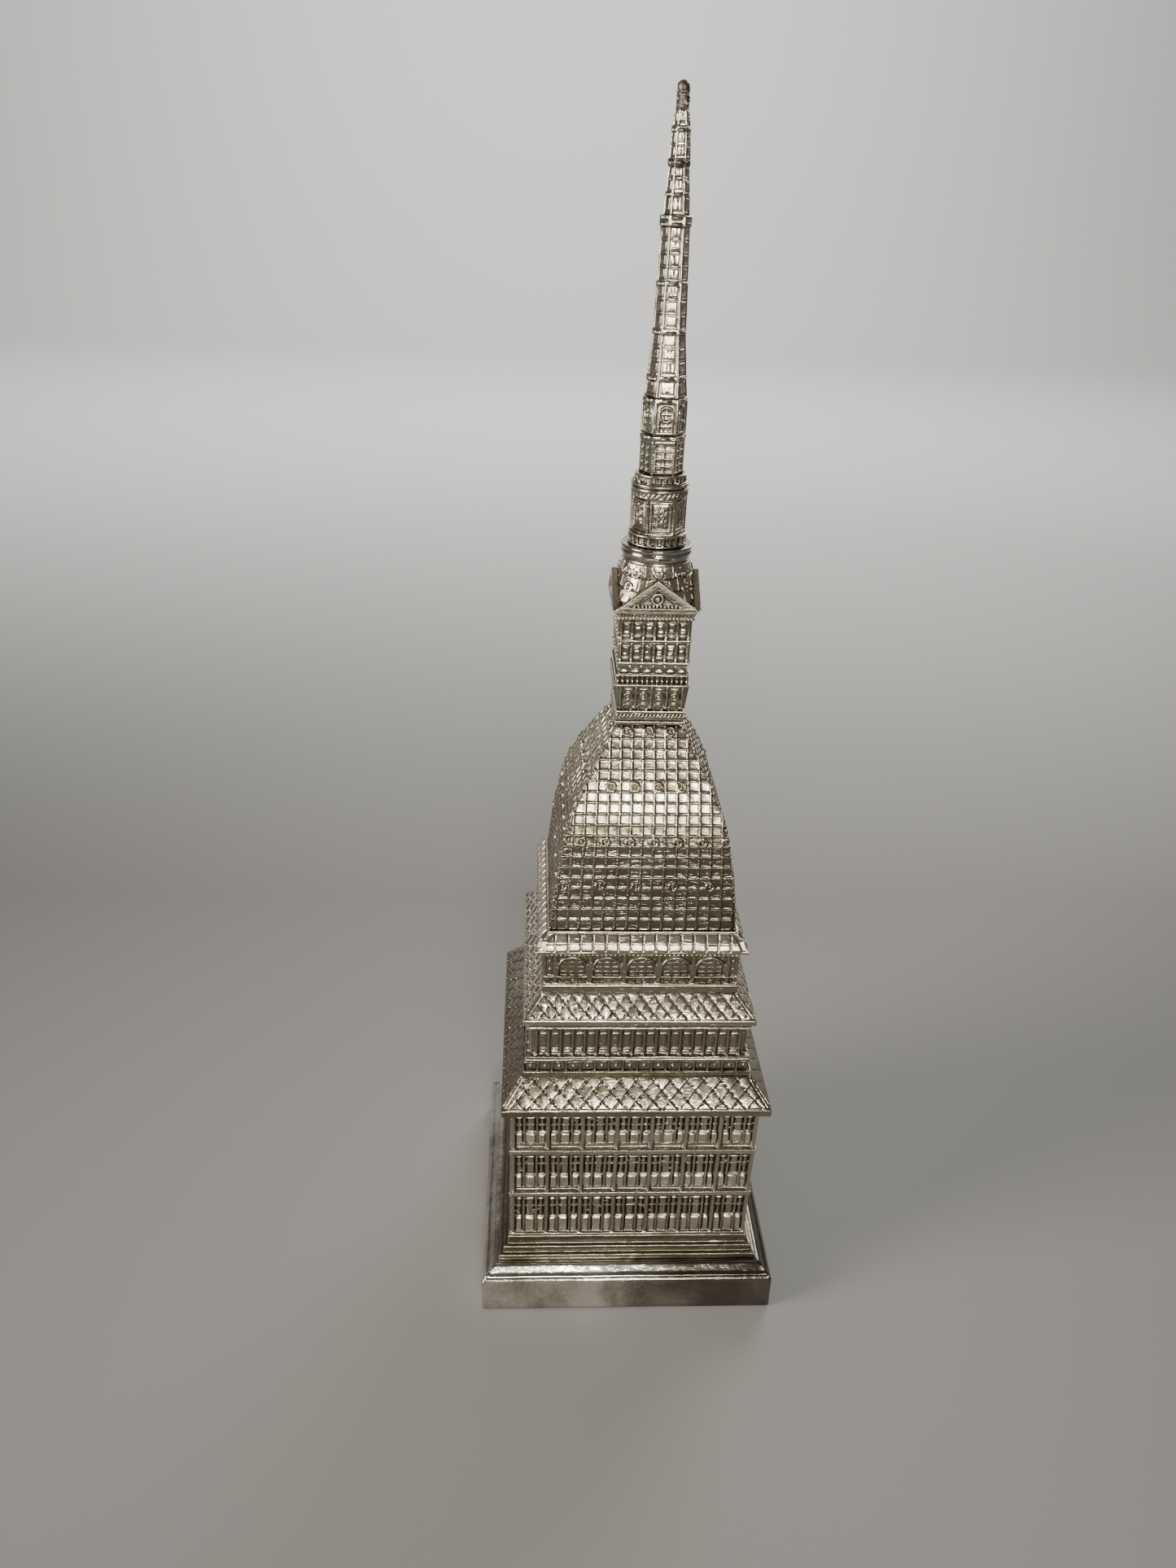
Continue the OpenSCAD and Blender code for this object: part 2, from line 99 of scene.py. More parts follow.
def slope(x0, x1, outLow, zLow, outHigh, zHigh, thick):
    # a leaning slab whose outer face runs from the low edge to the high edge
    run, rise = outLow - outHigh, zHigh - zLow
    length = math.hypot(run, rise)
    out = (outLow + outHigh) / 2 - rise / length * thick / 2
    z = (zLow + zHigh) / 2 - run / length * thick / 2
    lean = math.degrees(math.atan2(run, rise))
    block(x0, x1, out - thick / 2, out + thick / 2, z - length / 2, z + length / 2, lean)


def post(x, out, z0, z1, radius, lean=0, corners=12):
    bpy.ops.mesh.primitive_cylinder_add(
        vertices=corners, radius=radius * mm, depth=(z1 - z0) * mm,
        location=(x * mm, -out * mm, (z0 + z1) / 2 * mm), rotation=(-math.radians(lean), 0, 0),
    )


def bead(x0, x1, out, z, radius):
    bpy.ops.mesh.primitive_cylinder_add(
        vertices=12, radius=radius * mm, depth=(x1 - x0) * mm,
        location=((x0 + x1) / 2 * mm, -out * mm, z * mm), rotation=(0, math.pi / 2, 0),
    )


def drop(place, radius):
    bpy.ops.mesh.primitive_ico_sphere_add(subdivisions=2, radius=radius * mm, location=place)


def ball(x, out, z, radius):
    drop((x * mm, -out * mm, z * mm), radius)


def hoop(x, out, z, radius, thick, lean=0):
    bpy.ops.mesh.primitive_torus_add(
        major_segments=28, minor_segments=8, major_radius=radius * mm, minor_radius=thick * mm,
        location=(x * mm, -out * mm, z * mm), rotation=(math.pi / 2 - math.radians(lean), 0, 0),
    )


def boss(x, out, z, radius, depth, lean=0):
    bpy.ops.mesh.primitive_cylinder_add(
        vertices=16, radius=radius * mm, depth=depth * mm,
        location=(x * mm, -out * mm, z * mm), rotation=(math.pi / 2 - math.radians(lean), 0, 0),
    )


def drum(radius, z0, z1, topRadius=None, corners=64):
    # six-sided drums have a flat side to the front
    bpy.ops.mesh.primitive_cone_add(
        vertices=corners, radius1=radius * mm, radius2=(radius if topRadius is None else topRadius) * mm,
        depth=(z1 - z0) * mm, location=(0, 0, (z0 + z1) / 2 * mm),
        rotation=(0, 0, math.pi / 6 if corners == 6 else 0),
    )


def ringBar(radius, z, thick, corners=72):
    bpy.ops.mesh.primitive_torus_add(
        major_segments=corners, minor_segments=10, major_radius=radius * mm, minor_radius=thick * mm,
        location=(0, 0, z * mm), rotation=(0, 0, math.pi / 6 if corners == 6 else 0),
    )


def aroundAxis(out, turn, z):
    # a place at a distance from the axis; no turn is to the right
    return (math.cos(turn) * out * mm, math.sin(turn) * out * mm, z * mm)


def aroundFront(out, turn, z):
    # the same, where no turn is to the front
    return (math.sin(turn) * out * mm, -math.cos(turn) * out * mm, z * mm)


def cornerPosts(out, middle, tall, radius, corners=12):
    # a round post on each corner of a six-sided drum
    for k in range(6):
        bpy.ops.mesh.primitive_cylinder_add(
            vertices=corners, radius=radius * mm, depth=tall * mm,
            location=aroundAxis(out, math.pi / 3 * k, middle),
        )


def repeatAlong(piece, count, step):
    useModifier(
        piece, "ARRAY", count=count, use_relative_offset=False, use_constant_offset=True,
        constant_offset_displace=[part * mm for part in step],
    )


def turnPiece(piece, degrees):
    piece.rotation_euler = (0, 0, math.radians(degrees))
    pickOnly(piece)
    bpy.ops.object.transform_apply(location=False, rotation=True, scale=False)


def copyPiece(piece, name):
    copy = piece.copy()
    copy.data = piece.data.copy()
    copy.name = name
    bpy.context.collection.objects.link(copy)
    return copy


def turnAround(piece, count):
    # copies round the axis, joined with the first
    copies = [copyPiece(piece, piece.name + "Copy") for k in range(1, count)]
    for k, copy in enumerate(copies):
        turnPiece(copy, 360 / count * (k + 1))
    return joinPieces(piece, *copies)


def fuse(piece, voxel):
    useModifier(piece, "REMESH", mode="VOXEL", voxel_size=voxel * mm)


def cutPlane(piece, point, normal):
    # takes away what lies beyond the plane and closes the cut
    pickOnly(piece)
    bpy.ops.object.mode_set(mode="EDIT")
    bpy.ops.mesh.select_all(action="SELECT")
    bpy.ops.mesh.bisect(
        plane_co=[part * mm for part in point], plane_no=normal, use_fill=True, clear_outer=True
    )
    bpy.ops.object.mode_set(mode="OBJECT")


def mitre(piece, gap):
    cutPlane(piece, (0, -gap, 0), (1, 1, 0))
    cutPlane(piece, (0, -gap, 0), (-1, 1, 0))


def waver(piece, amount, size):
    # slight unevenness of a hand-made pattern
    clouds = bpy.data.textures.get("unevenness") or bpy.data.textures.new("unevenness", "CLOUDS")
    clouds.cloud_type = "COLOR"
    clouds.noise_scale = size * mm
    clouds.noise_depth = 1
    useModifier(
        piece, "DISPLACE", texture=clouds, texture_coords="LOCAL", direction="RGB_TO_XYZ",
        strength=amount * mm, mid_level=0.5,
    )


def finishCast(piece, values):
    # fuses the shapes, rounds their edges like a casting and thins the mesh
    fuse(piece, values["voxel"])
    useModifier(piece, "SMOOTH", factor=0.5, iterations=values.get("soften", 1))
    faces = 2 * len(piece.data.polygons)
    if faces > values["triangles"]:
        useModifier(piece, "DECIMATE", ratio=values["triangles"] / faces)
    pickOnly(piece)
    bpy.ops.object.shade_smooth()
    return piece


def standFor(piece, material, slot, *nodes):
    piece.data.materials.clear()
    piece.data.materials.append(material)
    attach(piece, "root")
    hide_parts(*nodes)


def fourWalls(piece, stem, values, material, slot):
    # the finished front casting, copied to the other three sides
    walls = [piece] + [copyPiece(piece, stem) for side in quarterNames[1:]]
    for turn, (wall, side) in enumerate(zip(walls, quarterNames)):
        if turn:
            turnPiece(wall, 90 * turn)
        wall.name = stem + side.title()
        waver(wall, values["unevenness"], 9)
        node = stem.replace("Wall", "_wall_").replace("Panel", "_panel_") + side
        standFor(wall, material, slot, node)


# shared effects, as node groups

def openGroup(name, inputs, outputs):
    group = bpy.data.node_groups.new(name, "ShaderNodeTree")
    for title, kind, value in inputs:
        socket = group.interface.new_socket(title, in_out="INPUT", socket_type=kind)
        socket.default_value = value
    for title, kind in outputs:
        group.interface.new_socket(title, in_out="OUTPUT", socket_type=kind)
    entry = group.nodes.new("NodeGroupInput")
    leave = group.nodes.new("NodeGroupOutput")
    return group, entry, leave


def addNode(tree, kind, links=None, **settings):
    node = tree.nodes.new(kind)
    for setting, value in settings.items():
        setattr(node, setting, value)
    for socket, source in (links or {}).items():
        if hasattr(source, "is_output"):
            tree.links.new(source, node.inputs[socket])
        else:
            node.inputs[socket].default_value = source
    return node


def between(tree, source, low, high, outLow=0.0, outHigh=1.0):
    node = addNode(
        tree, "ShaderNodeMapRange", {0: source, 1: low, 2: high, 3: outLow, 4: outHigh}, clamp=True
    )
    return node.outputs[0]


def mathNode(tree, operation, first, second=0.0):
    return addNode(tree, "ShaderNodeMath", {0: first, 1: second}, operation=operation).outputs[0]


def mixColour(tree, amount, first, second, blend="MIX"):
    node = addNode(tree, "ShaderNodeMix", data_type="RGBA", blend_type=blend)
    for index, source in ((0, amount), (6, first), (7, second)):
        if hasattr(source, "is_output"):
            tree.links.new(source, node.inputs[index])
        else:
            node.inputs[index].default_value = source
    return node.outputs[2]


def noiseAt(tree, place, scale, detail=4.0, rough=0.55, distortion=0.0):
    return addNode(
        tree, "ShaderNodeTexNoise",
        {"Vector": place, "Scale": scale, "Detail": detail, "Roughness": rough, "Distortion": distortion},
    ).outputs[0]


def makeOxideShadeGroup():
    # patina and painted shade in corners and hollows, both found by occlusion, and rubbed metal with a
    # painted highlight on what stands out
    group, entry, leave = openGroup(
        "oxideShadeGroup",
        [("Reach", "NodeSocketFloat", 0.0015), ("Recess", "NodeSocketFloat", 1.0),
         ("Edge", "NodeSocketFloat", 1.0)],
        [("OxideShade", "NodeSocketFloat"), ("WornGlint", "NodeSocketFloat")],
    )
    place = addNode(group, "ShaderNodeTexCoord").outputs["Object"]
    # painted shade: occlusion darkens corners and hollows, for the patina there and the shade that falls in
    # them
    shade = addNode(group, "ShaderNodeAmbientOcclusion", samples=6)
    group.links.new(entry.outputs["Reach"], shade.inputs["Distance"])
    openness = shade.outputs["AO"]
    blotch = noiseAt(group, place, 420.0, 3.0)
    hollow = between(group, mathNode(group, "ADD", openness, mathNode(group, "MULTIPLY", blotch, 0.22)),
                     1.02, 0.58)
    oxideShade = mathNode(group, "MULTIPLY", hollow, entry.outputs["Recess"])
    # painted highlight: pointy edges are lightened, for rubbed metal and the light those edges catch
    bent = addNode(group, "ShaderNodeNewGeometry").outputs["Pointiness"]
    edge = between(group, mathNode(group, "ADD", bent, mathNode(group, "MULTIPLY", blotch, 0.04)),
                   0.525, 0.60)
    wornGlint = mathNode(group, "MULTIPLY", edge, entry.outputs["Edge"])
    group.links.new(oxideShade, leave.inputs["OxideShade"])
    group.links.new(wornGlint, leave.inputs["WornGlint"])
    return group


def makeColourShadeGroup():
    # broad colour changes of an old plated surface, with fine specks; the painted shade and highlight are
    # mixed in here too
    group, entry, leave = openGroup(
        "colourAndShade",
        [("Bright", "NodeSocketColor", (0.7, 0.67, 0.6, 1)), ("Warm", "NodeSocketColor", (0.5, 0.4, 0.3, 1)),
         ("Dark", "NodeSocketColor", (0.1, 0.09, 0.07, 1)), ("OxideShade", "NodeSocketFloat", 0.0),
         ("WornGlint", "NodeSocketFloat", 0.0), ("Spread", "NodeSocketFloat", 0.5),
         ("WornGlintColour", "NodeSocketColor", (0.8, 0.75, 0.64, 1)), ("SideShade", "NodeSocketFloat", 0.0),
         ("Way", "NodeSocketVector", (25, 0, 0)), ("Shift", "NodeSocketFloat", 0.0)],
        [("Colour", "NodeSocketColor"), ("Cloud", "NodeSocketFloat")],
    )
    place = addNode(group, "ShaderNodeTexCoord").outputs["Object"]
    cloud = noiseAt(group, place, 45.0, 5.0, 0.6, 0.4)
    fine = noiseAt(group, place, 900.0, 3.0, 0.7)
    warmth = mathNode(group, "ADD", cloud, mathNode(group, "MULTIPLY", fine, 0.25))
    warmth = mathNode(group, "MULTIPLY", between(group, warmth, 0.5, 0.78), entry.outputs["Spread"])
    colour = mixColour(group, warmth, entry.outputs["Bright"], entry.outputs["Warm"])
    specks = between(group, fine, 0.62, 0.75, 0.0, 0.35)
    colour = mixColour(group, specks, colour, entry.outputs["Dark"])
    # painted shade and patina darken the hollows
    colour = mixColour(group, entry.outputs["OxideShade"], colour, entry.outputs["Dark"])
    # painted highlight and wear: raised edges take the lighter rub colour
    colour = mixColour(group, entry.outputs["WornGlint"], colour, entry.outputs["WornGlintColour"])
    # painted shade: one end of a piece is darker than the other, as the light falls
    along = addNode(
        group, "ShaderNodeVectorMath", {0: place, 1: entry.outputs["Way"]}, operation="DOT_PRODUCT"
    ).outputs["Value"]
    along = mathNode(group, "ADD", along, entry.outputs["Shift"])
    along = mathNode(group, "ADD", along, mathNode(group, "MULTIPLY", cloud, 0.75))
    sideShade = mathNode(group, "MULTIPLY", between(group, along, 0.0, 1.0), entry.outputs["SideShade"])
    colour = mixColour(group, sideShade, colour, entry.outputs["Dark"])
    group.links.new(colour, leave.inputs["Colour"])
    group.links.new(cloud, leave.inputs["Cloud"])
    return group


def makeGrainGroup():
    # casting grain, tool scratches and dings as one height
    group, entry, leave = openGroup(
        "castGrain",
        [("Grain", "NodeSocketFloat", 1.0), ("Scratches", "NodeSocketFloat", 1.0),
         ("Waves", "NodeSocketFloat", 1.0)],
        [("Height", "NodeSocketFloat"), ("Worn", "NodeSocketFloat")],
    )
    place = addNode(group, "ShaderNodeTexCoord").outputs["Object"]
    grain = noiseAt(group, place, 2200.0, 3.0, 0.7)
    lumps = noiseAt(group, place, 380.0, 2.0)
    waves = noiseAt(group, place, 70.0, 1.0)
    scratches = None
    for turn, scale in (((0.9, 0.5, 0.4), 240.0), ((-0.8, 1.2, 1.9), 310.0)):
        lay = addNode(
            group, "ShaderNodeMapping", {"Vector": place, "Rotation": turn, "Scale": (1.0, 1.0, 6.0)}
        ).outputs[0]
        streak = between(group, noiseAt(group, lay, scale, 2.0, 0.5, 0.6), 0.62, 0.72)
        scratches = streak if scratches is None else mathNode(group, "MAXIMUM", scratches, streak)
    height = mathNode(group, "MULTIPLY", grain, entry.outputs["Grain"])
    height = mathNode(group, "ADD", height, mathNode(group, "MULTIPLY", lumps, 1.6))
    height = mathNode(
        group, "SUBTRACT", height, mathNode(group, "MULTIPLY", scratches, entry.outputs["Scratches"])
    )
    height = mathNode(group, "ADD", height, mathNode(group, "MULTIPLY", waves, entry.outputs["Waves"]))
    group.links.new(height, leave.inputs["Height"])
    group.links.new(scratches, leave.inputs["Worn"])
    return group


oxideShadeGroup = makeOxideShadeGroup()
colourAndShade = makeColourShadeGroup()
castGrain = makeGrainGroup()


def makeMetal(name, bright, warm, dark, *, spread=0.6, reach=1.5, recess=1.0, edge=0.8, grain=0.5,
              scratches=0.6, waves=0.0, bump=0.00006, rough=(0.22, 0.4), wornGlintColour=(0.80, 0.75, 0.62),
              sideShade=0.0, way=(25, 0, 0), shift=0.0):
    # colours are linear; reach is in millimetres; way and shift say where the painted shade on one side of a
    # piece begins
    material = bpy.data.materials.new(name)
    material.use_nodes = True
    tree = material.node_tree
    shader = tree.nodes["Principled BSDF"]
    shader.inputs["Metallic"].default_value = 1.0
    corners = addNode(tree, "ShaderNodeGroup", node_tree=oxideShadeGroup)
    corners.inputs["Reach"].default_value = reach * mm
    corners.inputs["Recess"].default_value = recess
    corners.inputs["Edge"].default_value = edge
    colours = addNode(tree, "ShaderNodeGroup", node_tree=colourAndShade)
    for title, value in (("Bright", bright), ("Warm", warm), ("Dark", dark), ("WornGlintColour", wornGlintColour)):
        colours.inputs[title].default_value = (*value, 1)
    for title, value in (("Spread", spread), ("SideShade", sideShade), ("Way", way), ("Shift", shift)):
        colours.inputs[title].default_value = value
    tree.links.new(corners.outputs["OxideShade"], colours.inputs["OxideShade"])
    tree.links.new(corners.outputs["WornGlint"], colours.inputs["WornGlint"])
    relief = addNode(tree, "ShaderNodeGroup", node_tree=castGrain)
    relief.inputs["Grain"].default_value = grain
    relief.inputs["Scratches"].default_value = scratches
    relief.inputs["Waves"].default_value = waves
    worn = mathNode(tree, "MULTIPLY", relief.outputs["Worn"], 0.5)
    dull = mathNode(tree, "MAXIMUM", corners.outputs["OxideShade"], worn)
    uneven = between(tree, colours.outputs["Cloud"], 0.3, 0.7, 0.0, 0.35)
    roughness = between(tree, mathNode(tree, "ADD", dull, uneven), 0.0, 1.2, rough[0], rough[1])
    tree.links.new(colours.outputs["Colour"], shader.inputs["Base Color"])
    tree.links.new(roughness, shader.inputs["Roughness"])
    bumps = addNode(tree, "ShaderNodeBump", {"Strength": 1.0, "Distance": bump})
    tree.links.new(relief.outputs["Height"], bumps.inputs["Height"])
    tree.links.new(bumps.outputs["Normal"], shader.inputs["Normal"])
    return material


silverCast = makeMetal(
    "silverCast", (0.48, 0.44, 0.345), (0.36, 0.30, 0.22), (0.04, 0.036, 0.027), recess=1.2, edge=1.0
)
# painted shade: a darker copy of silverCast for the middle and upper walls
wallDull = makeMetal(
    "wallDull", (0.34, 0.31, 0.24), (0.26, 0.215, 0.155), (0.035, 0.03, 0.022), recess=1.2, edge=1.0,
    wornGlintColour=(0.62, 0.57, 0.45)
)
tileCast = makeMetal(
    "tileCast", (0.62, 0.57, 0.46), (0.42, 0.34, 0.25), (0.045, 0.037, 0.027), spread=0.8, reach=0.9,
    recess=1.3, edge=0.25, bump=0.000035, rough=(0.2, 0.38)
)
# painted shade: a darker copy of tileCast for the lower roof
tileShaded = makeMetal(
    "tileShaded", (0.31, 0.28, 0.215), (0.22, 0.175, 0.125), (0.04, 0.033, 0.024), spread=0.8, reach=0.9,
    recess=1.3, edge=0.3, bump=0.000035, rough=(0.2, 0.38)
)
spireCast = makeMetal(
    "spireCast", (0.56, 0.52, 0.42), (0.45, 0.385, 0.295), (0.05, 0.044, 0.034), recess=1.2, edge=1.0,
    bump=0.00004, rough=(0.2, 0.36)
)
gableCast = makeMetal(
    "gableCast", (0.42, 0.385, 0.31), (0.26, 0.21, 0.15), (0.04, 0.035, 0.026), spread=1.0,
    recess=1.2, edge=1.0, grain=1.6, bump=0.00008, rough=(0.26, 0.45)
)
# painted shade: the plinth gets darker towards its right
polishedCast = makeMetal(
    "polishedCast", (0.80, 0.79, 0.70), (0.28, 0.25, 0.20), (0.10, 0.085, 0.065), spread=1.0, reach=2.5,
    recess=0.45, edge=0.3, grain=0.1, scratches=0.25, waves=5.0, bump=0.00005, rough=(0.13, 0.27),
    sideShade=0.85
)
stepCast = makeMetal(
    "stepCast", (0.22, 0.195, 0.15), (0.16, 0.13, 0.09), (0.05, 0.043, 0.033), spread=0.9, reach=2.0,
    recess=0.8, edge=0.9, grain=0.3, scratches=0.6, waves=1.5, rough=(0.2, 0.4)
)
# painted shade: the dome gets darker low down and to the right
domeCast = makeMetal(
    "domeCast", (0.52, 0.48, 0.375), (0.31, 0.255, 0.18), (0.04, 0.032, 0.022), spread=0.8, reach=1.2,
    recess=1.4, edge=1.0, grain=0.6, scratches=0.9, bump=0.000035, rough=(0.18, 0.36),
    wornGlintColour=(0.46, 0.39, 0.27), sideShade=0.7, way=(9, 0, -24), shift=3.5
)
solderDark = makeMetal(
    "solderDark", (0.20, 0.17, 0.16), (0.10, 0.085, 0.08), (0.03, 0.027, 0.027), spread=0.9, edge=0.5,
    bump=0.00015, rough=(0.38, 0.62)
)
steelPlain = makeMetal(
    "steelPlain", (0.56, 0.57, 0.58), (0.42, 0.38, 0.34), (0.14, 0.12, 0.10), spread=0.4, scratches=1.0,
    rough=(0.28, 0.45)
)
print("materials ready")


# plinth and steps

plinth = dict(
    foot=47.22, bandTop=46.95, lift=0.14, bandHeight=12.6, chamferIn=3.9, rim=2.6, seat=3.0, ledge=33.5,
    voxel=0.45, triangles=40000, soften=3, unevenness=0.25
)


def makePlinth():
    values = plinth
    top = heights("plinth")[1]
    half, inner, rim = values["foot"], values["foot"] - values["rim"], values["rim"]
    bandTop, bandHeight, chamferIn = values["bandTop"], values["bandHeight"], values["chamferIn"]
    # four bevelled bars make the hollow square, each cut on the mitre
    piece = openPiece("plinthBlock")
    slope(-half, half, half, values["lift"], bandTop, bandHeight, rim)
    slope(-half, half, bandTop, bandHeight - 0.02, bandTop - chamferIn, top, 3)
    block(-half, half, inner - 1.2, inner + 1.5, values["seat"], top - 2.5)
    block(-half, half, values["ledge"], half - chamferIn - 0.4, top - 3, top - 0.05)
    closePiece()
    mitre(piece, -0.2)
    turnAround(piece, 4)
    finishCast(piece, values)
    waver(piece, values["unevenness"], 22)
    standFor(piece, polishedCast, "polished_metal", "plinth")


steppedBase = dict(
    halves=[41.8, 40.4, 39.0], risers=[2.4, 2.4, 3.2], wall=4.5, rounding=0.35,
    voxel=0.28, triangles=50000, soften=2, unevenness=0.2
)


def makeSteps():
    values = steppedBase
    z = heights("stepped_base")[0]
    wall, rounding = values["wall"], values["rounding"]
    piece = openPiece("steppedBase")
    for half, riser in zip(values["halves"], values["risers"]):
        block(-half, half, half - wall, half - rounding, z, z + riser)
        block(-half, half, half - wall, half, z, z + riser - rounding)
        bead(-half, half, half - rounding - 0.05, z + riser - rounding - 0.02, rounding)
        z += riser
    closePiece()
    mitre(piece, -0.2)
    turnAround(piece, 4)
    finishCast(piece, values)
    waver(piece, values["unevenness"], 14)
    standFor(piece, stepCast, "polished_metal", "stepped_base")


makePlinth()
makeSteps()
print("plinth and steps ready")


# lower block: three storeys of windows between piers

lowerWall = dict(
    bays=7, window=37.4, back=35.4, pier=0.74, mullion=0.42, mullionAt=(0.32, 0.69), slot=0.3,
    stringOut=38.7, stringHeight=1.9, dentilPitch=1.5,
    # heights over the block's foot: ledge, box foot, box top, transom, lintel, top of the storey
    storeys=[(0.0, 1.5, 7.7, 12.3, 15.4, 18.8), (18.8, 21.3, 25.9, 30.4, 33.3, 36.7),
             (36.7, 39.8, 43.7, 46.5, 49.4, 52.4)],
    half=39, chipSpan=36, chips=28, dentils=52, voxel=0.17, triangles=100000, unevenness=0.3,
)


def lowerLight(left, right, window, boxFoot, boxTop, transom, lintel, ribs):
    # one narrow light: a cushion-shaped box with a pane and bars over it
    block(left, right, window - 1, window + 0.7, boxFoot, boxTop - 0.9)
    slope(left, right, window + 0.75, boxTop - 0.95, window - 0.3, boxTop, 0.8)
    bead(left, right, window + 0.1, boxFoot + 0.1, 0.3)
    bead(left, right, window + 0.22, boxFoot - 0.65, 0.2)
    block(left + 0.15, right - 0.15, window - 1, window + 0.06, boxTop + 0.35, lintel + 0.4)
    block(left, right, window - 1, window + 0.42, transom - 0.18, transom + 0.18)
    block(left, right, window - 1, window + 0.5, lintel - 0.22, lintel + 0.22)
    block(left, right, window - 1, window + 0.3, lintel + 0.75, lintel + 1.05)
    for k in range(ribs):
        x = left + (right - left) * (k + 1) / (ribs + 1)
        block(x - 0.13, x + 0.13, window - 1, window + 0.3, boxTop + 0.2, lintel)


def makeLowerWalls():
    values = lowerWall
    window, pitch = values["window"], 2 * values["window"] / values["bays"]
    foot = heights("lower_wall_front")[0]
    half, back, string = values["half"], values["back"], values["stringOut"]
    bay = openPiece("lowerBay")
    start = -window
    joints = [start + pitch * part for part in values["mullionAt"]]
    for low, *marks, top in values["storeys"]:
        levels = [foot + mark for mark in marks]
        for x in joints:
            post(x, window + 0.12, levels[0] - 0.7, foot + top - 1.8, values["mullion"])
            ball(x, window + 0.25, levels[0] - 0.7, values["mullion"] + 0.08)
        edges = [start + values["pier"]] + joints + [start + pitch - values["pier"]]
        clear = values["mullion"] + values["slot"]
        for k in range(3):
            left = edges[k] + (values["slot"] if k == 0 else clear)
            right = edges[k + 1] - (values["slot"] if k == 2 else clear)
            lowerLight(left, right, window, *levels, ribs=2 if k == 1 else 1)
    closePiece()
    repeatAlong(bay, values["bays"], (pitch, 0, 0))
    piers = openPiece("lowerPiers")
    for low, *marks, top in values["storeys"]:
        post(start, window + 0.1, foot + low + 0.6, foot + top - 1.2, values["pier"])
        ball(start, window + 0.14, foot + low + 0.9, values["pier"] + 0.06)
    closePiece()
    repeatAlong(piers, values["bays"] + 1, (pitch, 0, 0))
    dentils = openPiece("lowerDentils")
    top = foot + values["storeys"][2][5]
    post(-38.25, string - 0.45, top - 1.75, top - 0.3, 0.46, corners=8)
    closePiece()
    repeatAlong(dentils, values["dentils"], (values["dentilPitch"], 0, 0))
    body = openPiece("lowerWallFront")
    block(-half, half, back, window - 0.4, foot, top)
    block(-half, half, back, string - 0.5, top - 1.9, top)
    bead(-half, half, string - 0.32, top - 0.25, 0.3)
    for *marks, high in values["storeys"][:2]:
        block(-half, half, back, string - 0.15, foot + high - values["stringHeight"], foot + high - 0.3)
        bead(-half, half, string - 0.3, foot + high - 0.3, 0.3)
        slope(-half, half, string - 0.15, foot + high - 0.1, window - 0.4, foot + high + 0.5, 1.0)
        block(-half, half, back, window - 0.2, foot + high, foot + high + 1.3)
    block(-half, half, back, window + 1.1, foot, foot + 0.5)
    bead(-half, half, window + 1.0, foot + 0.55, 0.25)
    slope(-half, half, window + 0.9, foot + 0.5, window - 0.2, foot + 1.3, 1.0)
    for low, boxFoot, boxTop, transom, lintel, high in values["storeys"]:
        # chips and ticks that the mould left in the panes
        for k in range(values["chips"]):
            x = random.uniform(-values["chipSpan"], values["chipSpan"])
            z = foot + random.uniform(boxTop + 0.6, lintel - 0.4)
            width, height = random.uniform(0.2, 0.55), random.uniform(0.15, 0.5)
            block(x - width, x + width, window - 1, window + random.uniform(0.15, 0.4), z, z + height)
    closePiece()
    joinPieces(body, bay, piers, dentils)
    fuse(body, values["voxel"])
    mitre(body, 0.06)
    finishCast(body, values)
    fourWalls(body, "lowerWall", values, silverCast, "cast_metal")


makeLowerWalls()
print("lower block ready")


# the two lozenge roofs

lowerRoof = dict(
    node="lower_roof", eave=41.1, top=35.0, eaveHeight=2.7, lozenge=(5.15, 5.9), plainHip=1.2, gap=0.46,
    raised=0.45, crossFrom=6, steepFoot=1.5, steepTop=-3, triangles=100000, voxel=0.21, material=tileShaded
)
middleRoof = dict(
    node="middle_roof", eave=34.8, top=29.3, eaveHeight=2.1, lozenge=(4.05, 5.2), plainHip=1.2, gap=0.48,
    raised=0.45, crossFrom=-8, steepFoot=6, steepTop=1.5, triangles=70000, voxel=0.19, material=tileCast
)


